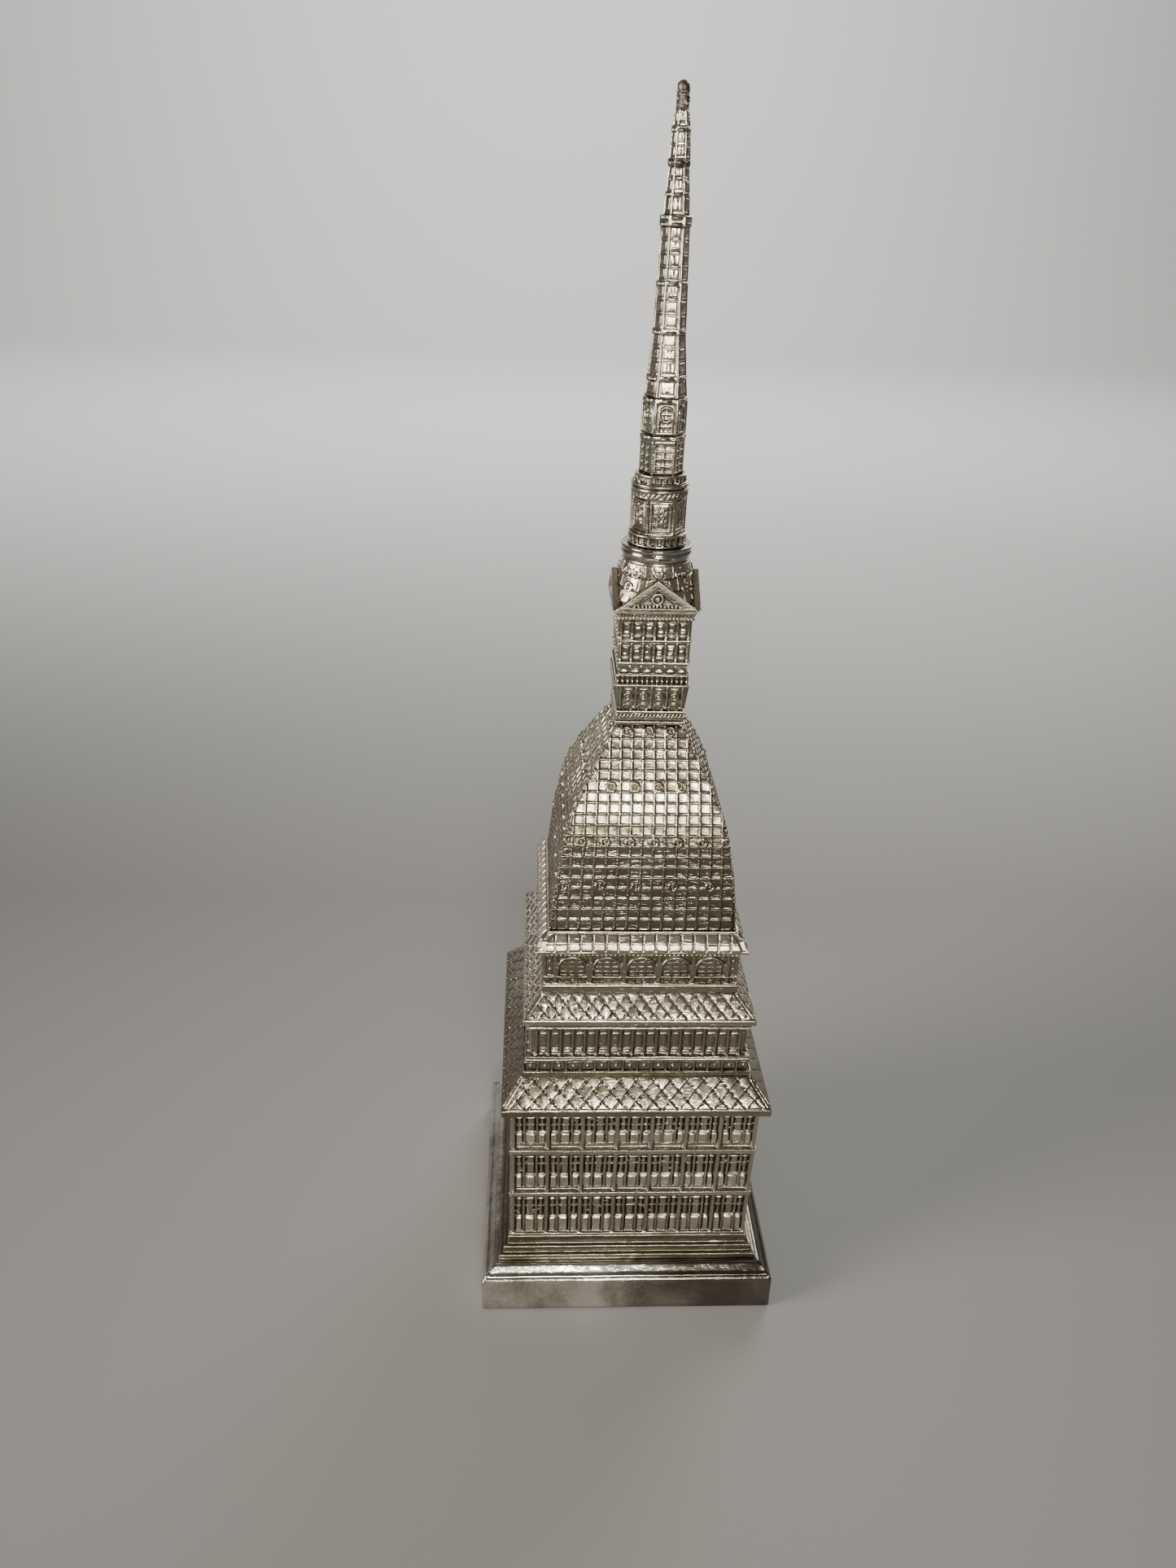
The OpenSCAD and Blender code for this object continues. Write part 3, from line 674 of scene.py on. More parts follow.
def makeLozengeRoof(name, values):
    zFoot, zTop = heights(values["node"])
    eave, top = values["eave"], values["top"]
    zEave = zFoot + values["eaveHeight"]
    rise, run = zTop - zEave, eave - top
    length = math.hypot(rise, run)
    width, height = values["lozenge"]
    gap, raised = values["gap"], values["raised"]
    # tiles are laid flat first: x along the eave, y up the slope
    count = int(2 * eave / width) + 3
    first = -count // 2 * width
    tiles = openPiece("lozengeTiles")
    for row in range(-1, int(2 * length / height) + 2):
        shift = width / 2 if row % 2 else 0
        steep = values["steepFoot"] if row < 1 else values["steepTop"]
        bpy.ops.mesh.primitive_cylinder_add(
            vertices=4, radius=mm, depth=1,
            location=((first + shift) * mm, row * height / 2 * mm, -0.62 * mm),
            rotation=(math.radians(random.uniform(-1, 1) + steep), math.radians(-3.0), 0),
            scale=(width / 2 - gap * 0.62, height / 2 - gap * 0.62, 1.2 * mm),
        )
    closePiece()
    repeatAlong(tiles, count + 1, (width, 0, 0))
    strips = openPiece("lozengeStrips")
    slant = math.atan2(height, width)
    span = length * 1.5 / math.sin(slant)
    across = width * math.sin(slant)
    bpy.ops.mesh.primitive_cube_add(
        size=1, location=((first - length / 2 / math.tan(slant)) * mm, length / 2 * mm, -0.8 * mm),
        rotation=(math.radians(-4), 0, -slant), scale=(span * mm, (across - gap) * mm, 1.2 * mm),
    )
    closePiece()
    repeatAlong(strips, count + 2, (width, 0, 0))
    cutPlane(strips, (values["crossFrom"], length / 2, 0), (-math.sin(slant), -math.cos(slant), 0))
    joinPieces(tiles, strips)
    waver(tiles, 0.25, 7)
    cutPlane(tiles, (0, 0.55, 0), (0, -1, 0))
    cutPlane(tiles, (0, length - 0.1, 0), (0, 1, 0))
    # lay them on the slope
    tiles.rotation_euler = (math.atan2(rise, run), 0, 0)
    tiles.location = (0, -eave * mm, zEave * mm)
    pickOnly(tiles)
    bpy.ops.object.transform_apply(location=True, rotation=True, scale=False)
    mitre(tiles, values["plainHip"])
    body = openPiece(name)
    block(-eave, eave, eave - 5, eave - 0.35, zFoot, zEave - 0.2)
    bead(-eave, eave, eave - 0.62, zEave - 0.55, 0.6)
    bead(-eave, eave, eave - 0.6, zFoot + 0.45, 0.42)
    slope(-eave, eave, eave - raised, zEave - raised * 0.6, top - raised, zTop - raised * 0.6, 1.6)
    block(-eave, eave, top - 2.0, top - 0.1, zTop - 2.5, zTop)
    closePiece()
    mitre(body, -0.15)
    joinPieces(body, tiles)
    turnAround(body, 4)
    finishCast(body, values)
    waver(body, 0.3, 12)
    standFor(body, values["material"], "tiled_metal", values["node"])


makeLozengeRoof("lowerRoof", lowerRoof)
makeLozengeRoof("middleRoof", middleRoof)
print("lozenge roofs ready")


# middle block: a colonnade over a band of dots

middleWall = dict(
    half=35, back=30.6, face=32.2, columns=18, column=0.5, dotSpan=34.5, dotPanels=16, dentils=52,
    dentilPitch=1.3, crumbs=26, voxel=0.16, triangles=40000, unevenness=0.35
)


def makeMiddleWalls():
    values = middleWall
    foot, top = heights("middle_wall_front")
    half, back, face, span = values["half"], values["back"], values["face"], values["dotSpan"]
    pitch = 2 * (face + 0.2) / values["columns"]
    column = openPiece("middleColumn")
    x = -face - 0.2 + pitch / 2
    post(x, face + 0.35, foot + 7.0, foot + 17.4, values["column"])
    ball(x, face + 0.45, foot + 7.4, values["column"] + 0.12)
    block(x - 0.62, x + 0.62, face - 1, face + 0.75, foot + 16.9, foot + 17.3)
    closePiece()
    repeatAlong(column, values["columns"], (pitch, 0, 0))
    panel = openPiece("middlePanel")
    left, right = x + values["column"] + 0.42, x + pitch - values["column"] - 0.28
    for z in (9.1, 14.8):
        block(left, right, face - 1, face + 0.5, foot + z - 0.2, foot + z + 0.22)
    block(left + 0.1, right - 0.1, face - 1, face + 0.12, foot + 9.4, foot + 14.5)
    block(left, right, face - 1, face + 0.25, foot + 15.2, foot + 16.6)
    block(left, right, face - 1, face + 0.3, foot + 7.3, foot + 8.2)
    closePiece()
    repeatAlong(panel, values["columns"] - 1, (pitch, 0, 0))
    dots = openPiece("middleDots")
    step = 2 * span / values["dotPanels"]
    ball(-span + step / 2, 33.85, foot + 3.7, 0.46)
    block(-span - 0.3, -span + 0.3, 33, 34.15, foot + 1.6, foot + 5.9)
    block(-span + 0.6, -span + step - 0.6, 33, 34.0, foot + 4.9, foot + 5.25)
    closePiece()
    repeatAlong(dots, values["dotPanels"] + 1, (step, 0, 0))
    dentils = openPiece("middleDentils")
    ball(-33.4, 33.35, foot + 18.35, 0.42)
    closePiece()
    repeatAlong(dentils, values["dentils"], (values["dentilPitch"], 0, 0))
    body = openPiece("middleWallFront")
    block(-half, half, back, face, foot, top)
    block(-half, half, 31, 34.5, foot, foot + 1.5)
    bead(-half, half, 34.42, foot + 1.65, 0.34)
    block(-half, half, 31, 33.75, foot + 1.5, foot + 6.3)
    bead(-half, half, 33.9, foot + 6.0, 0.26)
    bead(-half, half, 33.6, foot + 6.75, 0.36)
    slope(-half, half, 33.7, foot + 6.6, face, foot + 7.6, 1.0)
    block(-half, half, 31, 33.2, foot + 17.2, top)
    bead(-half, half, 33.3, foot + 17.4, 0.25)
    bead(-half, half, 33.5, top - 0.25, 0.2)
    for crumb in range(values["crumbs"]):
        # casting crumbs along the ledge
        ball(random.uniform(-32, 32), 33.1, foot + 7.1, random.uniform(0.15, 0.32))
    closePiece()
    joinPieces(body, column, panel, dots, dentils)
    fuse(body, values["voxel"])
    mitre(body, 0.06)
    finishCast(body, values)
    fourWalls(body, "middleWall", values, wallDull, "cast_metal")


makeMiddleWalls()
print("middle block ready")


# upper block: five arched windows a side

upperWall = dict(
    half=30, corner=28.4, back=26.7, face=28.25, pane=27.9, arches=5, endBay=2.95, outer=4.55, inner=3.95,
    spring=8.0, ticks=27, tickPitch=2.12, dentils=44, dentilPitch=1.32,
    voxel=0.16, triangles=36000, unevenness=0.3
)


def makeUpperWalls():
    values = upperWall
    foot, top = heights("upper_wall_front")
    half, back, face, pane = values["half"], values["back"], values["face"], values["pane"]
    arches, inner, spring = values["arches"], values["inner"], foot + values["spring"]
    pitch = 2 * (values["corner"] - values["endBay"]) / arches
    x = -pitch * 2
    middle = (values["outer"] + inner) / 2
    rim = openPiece("upperArch")
    hoop(x, face + 0.2, spring, middle, 0.38)
    closePiece()
    cutPlane(rim, (0, 0, spring), (0, 0, -1))
    window = openPiece("upperWindow")
    for side in (-1, 1):
        post(x + side * middle, face + 0.1, foot + 5.6, spring + 0.1, 0.34)
        bar = x + side * 1.2
        block(bar - 0.14, bar + 0.14, pane - 0.5, pane + 0.22, foot + 5.8, spring + 3.2)
    for z in (6.9, 8.5, 10.1):
        block(x - 3.4, x + 3.4, pane - 0.5, pane + 0.2, foot + z - 0.13, foot + z + 0.13)
    closePiece()
    joinPieces(window, rim)
    repeatAlong(window, arches, (pitch, 0, 0))
    # the wall's face with the arches cut out of it
    cutter = openPiece("archCutter")
    boss(x, face, spring, inner, 3)
    closePiece()
    holes = openPiece("archHoles")
    block(x - inner, x + inner, face - 1.5, face + 1.5, foot + 5.4, spring)
    closePiece()
    plate = openPiece("archPlate")
    block(-29, 29, pane - 0.3, face, foot + 2.4, top)
    closePiece()
    for tool in (cutter, holes):
        repeatAlong(tool, arches, (pitch, 0, 0))
        useModifier(plate, "BOOLEAN", operation="DIFFERENCE", object=tool)
        bpy.data.objects.remove(tool)
    piers = openPiece("upperPiers")
    end = -pitch * 2.5
    block(end - 0.55, end + 0.55, 27, face + 0.55, foot + 2.4, foot + 13.4)
    block(end - 0.8, end + 0.8, 27, face + 0.6, foot + 2.7, foot + 3.4)
    closePiece()
    repeatAlong(piers, arches + 1, (pitch, 0, 0))
    ticks = openPiece("upperTicks")
    block(-27.6, -27.4, 27, face + 0.25, foot + 3.3, foot + 4.6)
    closePiece()
    repeatAlong(ticks, values["ticks"], (values["tickPitch"], 0, 0))
    dentils = openPiece("upperDentils")
    ball(-values["corner"], face + 0.45, foot + 13.85, 0.36)
    closePiece()
    repeatAlong(dentils, values["dentils"], (values["dentilPitch"], 0, 0))
    body = openPiece("upperWallFront")
    block(-half, half, back, pane, foot, top)
    block(-half, half, back, 29.1, foot, foot + 2.3)
    bead(-half, half, 28.95, foot + 2.3, 0.28)
    bead(-half, half, 28.75, foot + 3.05, 0.25)
    block(-half, half, back, face + 0.35, foot + 4.6, foot + 5.5)
    bead(-half, half, face + 0.3, foot + 5.35, 0.36)
    block(-half, half, back, face + 0.3, foot + 13.1, top)
    bead(-half, half, face + 0.42, foot + 13.2, 0.18)
    bead(-half, half, face + 0.5, top - 0.25, 0.22)
    for side in (-1, 1):
        block(side * 28.5 - 0.45, side * 28.5 + 0.45, 27, face + 0.4, foot + 2.4, foot + 13.4)
        for z in (8.0, 10.9):
            ball(side * 27.1, face + 0.1, foot + z, 0.3)
    closePiece()
    joinPieces(body, window, plate, piers, ticks, dentils)
    fuse(body, values["voxel"])
    mitre(body, 0.06)
    finishCast(body, values)
    fourWalls(body, "upperWall", values, wallDull, "cast_metal")


makeUpperWalls()
print("upper block ready")


# skirt roof under the dome: a bulging eave and two rows of square tiles

skirtRoof = dict(half=31, eave=30.8, tilePitch=3.65, tiles=16, gap=0.55, voxel=0.18, triangles=70000)


def makeSkirtRoof():
    values = skirtRoof
    foot, top = heights("skirt_roof")
    half, eave, pitch, gap = values["half"], values["eave"], values["tilePitch"], values["gap"]
    start = -pitch * (values["tiles"] / 2)
    # each row of tiles: how far out and how high its low edge is, then its high edge
    rows = [(eave - 0.1, 1.6, eave - 0.75, 3.1), (eave - 0.85, 3.5, 28.1, 5.6)]
    parts = []
    for outLow, zLow, outHigh, zHigh in rows:
        tile = openPiece("skirtTile")
        slope(start + gap / 2, start + pitch - gap / 2, outLow, foot + zLow, outHigh, foot + zHigh, 1.2)
        closePiece()
        repeatAlong(tile, values["tiles"], (pitch, 0, 0))
        parts.append(tile)
    tiles = joinPieces(*parts)
    waver(tiles, 0.22, 6)
    mitre(tiles, 2.0)
    body = openPiece("skirtRoof")
    block(-half, half, 26.8, eave - 0.7, foot, foot + 1.2)
    bead(-half, half, eave - 0.85, foot + 0.85, 0.82)
    bead(-half, half, eave - 1.3, foot + 0.3, 0.35)
    slope(-half, half, eave - 0.42, foot + 1.4, eave - 1.5, foot + 4.0, 1.5)
    slope(-half, half, eave - 1.5, foot + 3.7, 27.5, foot + 5.7, 1.5)
    bead(-half, half, 27.5, top - 0.45, 0.38)
    block(-half, half, 25.5, 27.4, foot + 3, top - 0.1)
    closePiece()
    mitre(body, -0.15)
    joinPieces(body, tiles)
    turnAround(body, 4)
    finishCast(body, values)
    waver(body, 0.3, 11)
    standFor(body, tileCast, "tiled_metal", "skirt_roof")


makeSkirtRoof()
print("skirt roof ready")


# dome: four curved panels with a raised grid and round windows

dome = dict(
    foot=27.3, top=9.4, bends=((-3.9, 37), (12.4, -22.4)), rows=18, columns=17, cell=3.42, ridge=0.17,
    depth=1.2, sink=0.36, wall=2.0,
    # rows of round windows: share of the panel's length, how many, pitch, shift to the right
    windows=[(0.965, 3, 6.2, -0.2), (0.71, 4, 6.7, -0.6), (0.45, 7, 6.85, 1.8), (0.23, 5, 10.6, -2.6)],
    steps=400, narrowing=0.09, seat=1.25, voxel=0.17, triangles=90000, unevenness=0.25,
)


def domeCurve():
    # places along the dome's outline, with the length of the outline up to each
    foot, top = heights("dome_panel_front")
    first = Vector((dome["foot"], foot))
    last = Vector((dome["top"], top))
    second = first + Vector(dome["bends"][0])
    third = last + Vector(dome["bends"][1])
    points, lengths = [], [0.0]
    for k in range(dome["steps"] + 1):
        t = k / dome["steps"]
        s = 1 - t
        points.append(first * s ** 3 + second * 3 * t * s * s + third * 3 * t * t * s + last * t ** 3)
        if k:
            lengths.append(lengths[-1] + (points[-1] - points[-2]).length)
    return points, lengths


def onCurve(curve, along):
    # the place and the outward direction at a length along the outline
    points, lengths = curve
    low, high = 0, len(lengths) - 1
    while high - low > 1:
        middle = (low + high) // 2
        if lengths[middle] <= along:
            low = middle
        else:
            high = middle
    part = (along - lengths[low]) / (lengths[high] - lengths[low])
    point = points[low].lerp(points[high], part)
    direction = (points[min(high + 2, len(points) - 1)] - points[max(low - 2, 0)]).normalized()
    return point, Vector((direction.y, -direction.x))


def bendOnDome(piece, curve):
    # flat x stays, flat y runs up the outline, flat z stands off it
    for corner in piece.data.vertices:
        point, outward = onCurve(curve, corner.co.y / mm)
        place = point + outward * (corner.co.z / mm)
        corner.co = (corner.co.x, -place.x * mm, place.y * mm)


def flatBox(x0, x1, y0, y1, z0, z1):
    bpy.ops.mesh.primitive_cube_add(
        size=1, location=((x0 + x1) / 2 * mm, (y0 + y1) / 2 * mm, (z0 + z1) / 2 * mm),
        scale=((x1 - x0) * mm, (y1 - y0) * mm, (z1 - z0) * mm),
    )


def makeDome():
    values = dome
    curve = domeCurve()
    total = curve[1][-1]
    rows, columns, cell, ridge = values["rows"], values["columns"], values["cell"], values["ridge"]
    places = []
    for share, count, pitch, shift in values["windows"]:
        for k in range(count):
            x = (k - (count - 1) / 2) * pitch + shift + random.uniform(-0.15, 0.15)
            places.append((x, total * share + random.uniform(-0.15, 0.15)))
    rise = total / rows
    # one cell: an upright ridge and a level ridge, each in two halves
    ridges = openPiece("domeGrid")
    start = -cell * columns / 2
    for part in range(2):
        flatBox(start - ridge, start + ridge, rise * part / 2 - 0.05, rise * (part + 1) / 2 + 0.05,
                -values["depth"], 0.02)
        flatBox(start + cell * part / 2 - 0.05, start + cell * (part + 1) / 2 + 0.05, -ridge, ridge,
                -values["depth"], 0.0)
    bpy.ops.mesh.select_all(action="SELECT")
    bpy.ops.mesh.subdivide(number_cuts=2)
    closePiece()
    repeatAlong(ridges, columns + 1, (cell, 0, 0))
    repeatAlong(ridges, rows + 2, (0, rise, 0))
    for corner in ridges.data.vertices:
        # the cells get smaller towards the top
        part = values["narrowing"] * corner.co.y / mm / total
        corner.co.x *= 1 - part
        corner.co.y *= 1 - part * 0.75
    waver(ridges, 0.2, 9)
    for corner in ridges.data.vertices:
        # the ridges stop at the windows
        if any(math.hypot(corner.co.x / mm - x, corner.co.y / mm - y) < values["seat"] for x, y in places):
            corner.co.z = -values["depth"] * mm
    cutPlane(ridges, (0, total - 0.15, 0), (0, 1, 0))
    cutPlane(ridges, (0, 0.1, 0), (0, -1, 0))
    panes = openPiece("domeWindows")
    for x, y in places:
        bpy.ops.mesh.primitive_torus_add(
            major_segments=24, minor_segments=8, major_radius=1.14 * mm, minor_radius=0.27 * mm,
            location=(x * mm, y * mm, -0.08 * mm),
        )
        bpy.ops.mesh.primitive_uv_sphere_add(
            segments=12, ring_count=8, radius=0.42 * mm, location=(x * mm, y * mm, -0.28 * mm)
        )
    closePiece()
    body = openPiece("domePanelFront")
    flatBox(-28, 28, 0, total, -values["wall"], -values["sink"])
    bpy.ops.mesh.select_all(action="SELECT")
    bpy.ops.mesh.subdivide(number_cuts=36)
    closePiece()
    joinPieces(body, ridges, panes)
    bendOnDome(body, curve)
    fuse(body, values["voxel"])
    mitre(body, 0.05)
    # solder left in beads on one hip, where the rows end
    hip = openPiece("hipSolder")
    beads = rows * 2
    for k in range(beads):
        point = onCurve(curve, total * (k + random.uniform(0.2, 0.8)) / beads)[0]
        size = random.uniform(0.22, 0.5)
        ball(-point.x + size * 0.2, point.x - size * 0.9, point.y, size)
    closePiece()
    joinPieces(body, hip)
    finishCast(body, values)
    fourWalls(body, "domePanel", values, domeCast, "tiled_metal")


makeDome()
print("dome ready")


# lantern: foot with beads, then four walls

lanternBase = dict(
    layers=[(10.0, 1.0), (9.3, 0.5), (9.8, 1.0), (9.2, 0.5), (9.6, 1.0)], inner=7.4, beads=19, beadPitch=1.05,
    voxel=0.16, triangles=26000
)


def makeLanternBase():
    values = lanternBase
    z = heights("lantern_base")[0]
    rows = openPiece("lanternBeads")
    ball(-9.4, 9.55, z + 0.75, 0.42)
    ball(-9.2, 9.45, z + 2.6, 0.36)
    closePiece()
    repeatAlong(rows, values["beads"], (values["beadPitch"], 0, 0))
    piece = openPiece("lanternBase")
    for half, height in values["layers"]:
        block(-half, half, values["inner"], half - 0.12, z, z + height)
        bead(-half, half, half - 0.25, z + height - 0.2, 0.22)
        z += height
    closePiece()
    joinPieces(piece, rows)
    mitre(piece, -0.1)
    turnAround(piece, 4)
    finishCast(piece, values)
    standFor(piece, silverCast, "cast_metal", "lantern_base")


lanternWall = dict(
    half=11, back=8, window=9.6, mullions=7, balusters=15, balusterPitch=1.36, lean=-8,
    storeys=[(15.0, 20.2), (21.3, 26.8)], voxel=0.13, triangles=34000, unevenness=0.2
)


def makeLanternWalls():
    values = lanternWall
    foot, top = heights("lantern_wall_front")
    half, back, window, lean = values["half"], values["back"], values["window"], values["lean"]
    mullions, balusters = values["mullions"], values["balusters"]
    body = openPiece("lanternWallFront")
    # flared storey with round windows between slim columns
    slope(-half, half, 8.95, foot, 9.85, foot + 7.8, 1.4)
    for k in range(5):
        x = (k - 2) * 4.3
        post(x, 9.75, foot + 0.6, foot + 7.6, 0.36, lean=lean)
        ball(x, 9.3, foot + 1.0, 0.5)
    for k in range(4):
        x = (k - 1.5) * 4.3
        hoop(x, 9.78, foot + 4.6, 0.95, 0.28, lean=lean)
        boss(x, 9.7, foot + 4.6, 0.42, 1.0, lean=lean)
        hoop(x, 9.2, foot + 0.8, 1.35, 0.2, lean=lean)
        block(x - 1.2, x + 1.2, 9.2, 10.1, foot + 6.6, foot + 6.9)
    # ledge, balustrade, ledge
    block(-half, half, back, 10.35, foot + 7.6, foot + 8.1)
    bead(-half, half, 10.35, foot + 8.05, 0.3)
    block(-half, half, back, 9.55, foot + 8.0, foot + 10.6)
    for k in range(balusters):
        x = (k - (balusters - 1) / 2) * values["balusterPitch"]
        post(x, 9.78, foot + 8.3, foot + 10.6, 0.3)
        ball(x, 9.84, foot + 9.1, 0.4)
    block(-half, half, back, 10.1, foot + 10.5, foot + 11.1)
    bead(-half, half, 10.12, foot + 11.05, 0.28)
    # parapet boxes with small arches
    block(-half, half, back, 9.5, foot + 11, foot + 14)
    for k in range(6):
        x = (k - 2.5) * 3.15
        block(x - 1.2, x + 1.2, 9, 9.72, foot + 11.6, foot + 12.2)
        hoop(x, 9.5, foot + 12.6, 1.0, 0.24)
        ball(x + 1.57, 9.62, foot + 13.3, 0.4)
    block(-half, half, back, 9.75, foot + 13.6, foot + 14.5)
    bead(-half, half, 9.85, foot + 14.5, 0.34)
    # two storeys of windows
    block(-half, half, back, window - 0.25, foot + 14, foot + 27)
    step = (2 * window - 0.9) / (mullions - 1)
    for zLow, zHigh in values["storeys"]:
        for k in range(mullions):
            x = (k - (mullions - 1) / 2) * step
            post(x, window + 0.02, foot + zLow, foot + zHigh, 0.36)
            ball(x, window + 0.1, foot + zLow + 0.3, 0.46)
            if k < mullions - 1:
                block(x + 0.7, x + step - 0.7, 9, window + 0.05, foot + zLow + 0.3, foot + zLow + 1.1)
                block(x + 0.75, x + step - 0.75, 9, window - 0.05, foot + zLow + 1.5, foot + zHigh - 1.0)
                for tick in range(3):
                    z = foot + random.uniform(zLow + 1.5, zHigh - 0.6)
                    block(x + 0.8, x + step - random.uniform(0.8, 1.6), 9, window + 0.12, z, z + 0.25)
    block(-half, half, back, 9.75, foot + 20.0, foot + 20.7)
    bead(-half, half, 9.85, foot + 20.9, 0.34)
    # cornice with a row of beads and a row of dentils
    block(-11.2, 11.2, back, 10.2, foot + 26.8, top)
    block(-11.2, 11.2, back, 10.7, foot + 28.6, top)
    bead(-11.2, 11.2, 10.75, top - 0.3, 0.26)
    for k in range(23):
        x = (k - 11) * 0.98
        ball(x, 10.3, foot + 27.3, 0.38)
        block(x - 0.28, x + 0.28, 9.5, 10.62, foot + 28.05, foot + 28.7)
    closePiece()
    fuse(body, values["voxel"])
    mitre(body, 0.05)
    finishCast(body, values)
    fourWalls(body, "lanternWall", values, silverCast, "cast_metal")


makeLanternBase()
makeLanternWalls()
print("lantern ready")


# gables and bell-shaped roof

gableRoof = dict(half=11.4, face=12.0, inner=10.2, rise=8.6, rakeDentils=13, voxel=0.15, triangles=45000)


def makeGables():
    values = gableRoof
    foot = heights("gable_roof")[0]
    half, face, inner, rise = values["half"], values["face"], values["inner"], values["rise"]
    tilt = math.atan2(rise, half)
    body = openPiece("gableRoof")
    block(-half, half, 7.4, half - 0.15, foot, foot + 0.8)
    # pediment: a thin triangle with a moulded frame
    bpy.ops.mesh.primitive_cylinder_add(
        vertices=3, radius=mm, depth=mm, rotation=(math.pi / 2, 0, 0),
        location=(0, -(face - 1.65) * mm, (foot + rise / 3 - 0.25) * mm),
        scale=((half - 0.6) / math.cos(math.pi / 6), (rise - 0.4) / 1.5, 1.3),
    )
    length = math.hypot(half, rise)
    for side in (-1, 1):
        for inset, depth, width in ((0.75, face - 0.12, 0.75), (1.75, face - 0.45, 0.55)):
            x = side * (half / 2 - inset * math.sin(tilt))
            z = foot + rise / 2 - inset * math.cos(tilt) + 0.15
            block(x - length / 2, x + length / 2, inner, depth, z - width, z + width,
                  roll=side * math.degrees(tilt))
        for k in range(values["rakeDentils"]):
            # dentils along the rake
            part = (k + 1.2) / 14.5
            x = side * (half - 0.8) * (1 - part)
            z = foot + rise * part - 2.05
            if z > foot + 1.3:
                block(x - 0.26, x + 0.26, 11, face - 0.35, z - 0.32, z + 0.32, roll=side * 37)
    block(-half, half, inner, face - 0.15, foot, foot + 1.0)
    bead(-half, half, face - 0.3, foot + 0.95, 0.26)
    for k in range(21):
        block((k - 10) - 0.27, (k - 10) + 0.27, 11, face - 0.4, foot + 1.2, foot + 1.9)
    hoop(0, face - 0.85, foot + 3.5, 1.4, 0.36)
    boss(0, face - 0.85, foot + 3.5, 0.6, 0.7)
    closePiece()
    cutPlane(body, (0, 0, foot), (0, 0, -1))
    cutPlane(body, (half, 0, foot), (rise, 0, half))
    cutPlane(body, (-half, 0, foot), (-rise, 0, half))
    mitre(body, -0.1)
    turnAround(body, 4)
    finishCast(body, values)
    standFor(body, gableCast, "cast_metal", "gable_roof")


bellRoof = dict(
    footRadius=13.2, neckRadius=9.35, flare=1.5, square=10.2, cuts=14, around=24,
    rows=[(0.8, 4.2), (4.55, 7.5), (7.85, 10.9)],
    # small round windows: degrees from the middle of a side, height
    eyes=[(0, 9.3), (-36, 8.8), (36, 8.8), (-44, 5.0), (44, 5.0)],
    voxel=0.15, triangles=45000
)


def bellRadius(z, top, foot):
    neck = bellRoof["neckRadius"]
    return neck + (bellRoof["footRadius"] - neck) * ((top - z) / (top - foot)) ** bellRoof["flare"]


def makeBellRoof():
    values = bellRoof
    foot, top = heights("bell_roof")
    cuts, around = values["cuts"], values["around"]
    body = openPiece("bellRoof")
    for k in range(cuts):
        z0 = foot + (top - foot) * k / cuts
        z1 = foot + (top - foot) * (k + 1) / cuts
        drum(bellRadius(z0, top, foot) - 0.35, z0, z1 + 0.01, bellRadius(z1, top, foot) - 0.35)
    for level, (zLow, zHigh) in enumerate(values["rows"]):
        zMiddle = foot + (zLow + zHigh) / 2
        radius = bellRadius(zMiddle, top, foot)
        run = bellRadius(foot + zLow, top, foot) - bellRadius(foot + zHigh, top, foot)
        lean = math.atan2(run, zHigh - zLow)
        width = 2 * math.pi * radius / around - 0.42
        for k in range(around):
            turn = 2 * math.pi * (k + 0.5 * (level % 2)) / around
            bpy.ops.mesh.primitive_cube_add(
                size=1, scale=(width * mm, 1.0 * mm, (zHigh - zLow) * mm), rotation=(-lean, 0, turn),
                location=aroundFront(radius - 0.55, turn, zMiddle),
            )
    closePiece()
    for normal in ((1, 0, 0), (0, 1, 0), (-1, 0, 0), (0, -1, 0)):
        cutPlane(body, [part * values["square"] for part in normal], normal)
    eyes = openPiece("bellEyes")
    for degrees, z in values["eyes"]:
        turn = math.radians(degrees)
        place = aroundFront(bellRadius(foot + z, top, foot) - 0.05, turn, foot + z)
        bpy.ops.mesh.primitive_torus_add(
            major_segments=20, minor_segments=8, major_radius=1.1 * mm, minor_radius=0.3 * mm,
            location=place, rotation=(math.pi / 2 - 0.4, 0, turn),
        )
        drop(place, 0.5)
    closePiece()
    turnAround(eyes, 4)
    joinPieces(body, eyes)
    finishCast(body, values)
    waver(body, 0.15, 6)
    standFor(body, tileCast, "tiled_metal", "bell_roof")


makeGables()
makeBellRoof()
print("gables and bell roof ready")


# gallery, drums and balcony

galleryDisc = dict(radius=9.6, voxel=0.16, triangles=24000, soften=3)
galleryRail = dict(radius=7.7, ribs=26, voxel=0.15, triangles=22000)


def makeGallery():
    values = galleryDisc
    foot, top = heights("gallery_disc")
    radius = values["radius"]
    disc = openPiece("galleryDisc")
    drum(radius - 0.65, foot, foot + 1.1, radius - 0.35)
    drum(radius - 0.35, foot + 1.0, foot + 1.6, radius - 0.05)
    drum(radius - 0.25, foot + 1.5, top - 0.1)
    ringBar(radius - 0.35, foot + 1.7, 0.36)
    ringBar(radius - 0.42, top - 0.52, 0.5)
    closePiece()
    finishCast(disc, values)
    standFor(disc, polishedCast, "polished_metal", "gallery_disc")


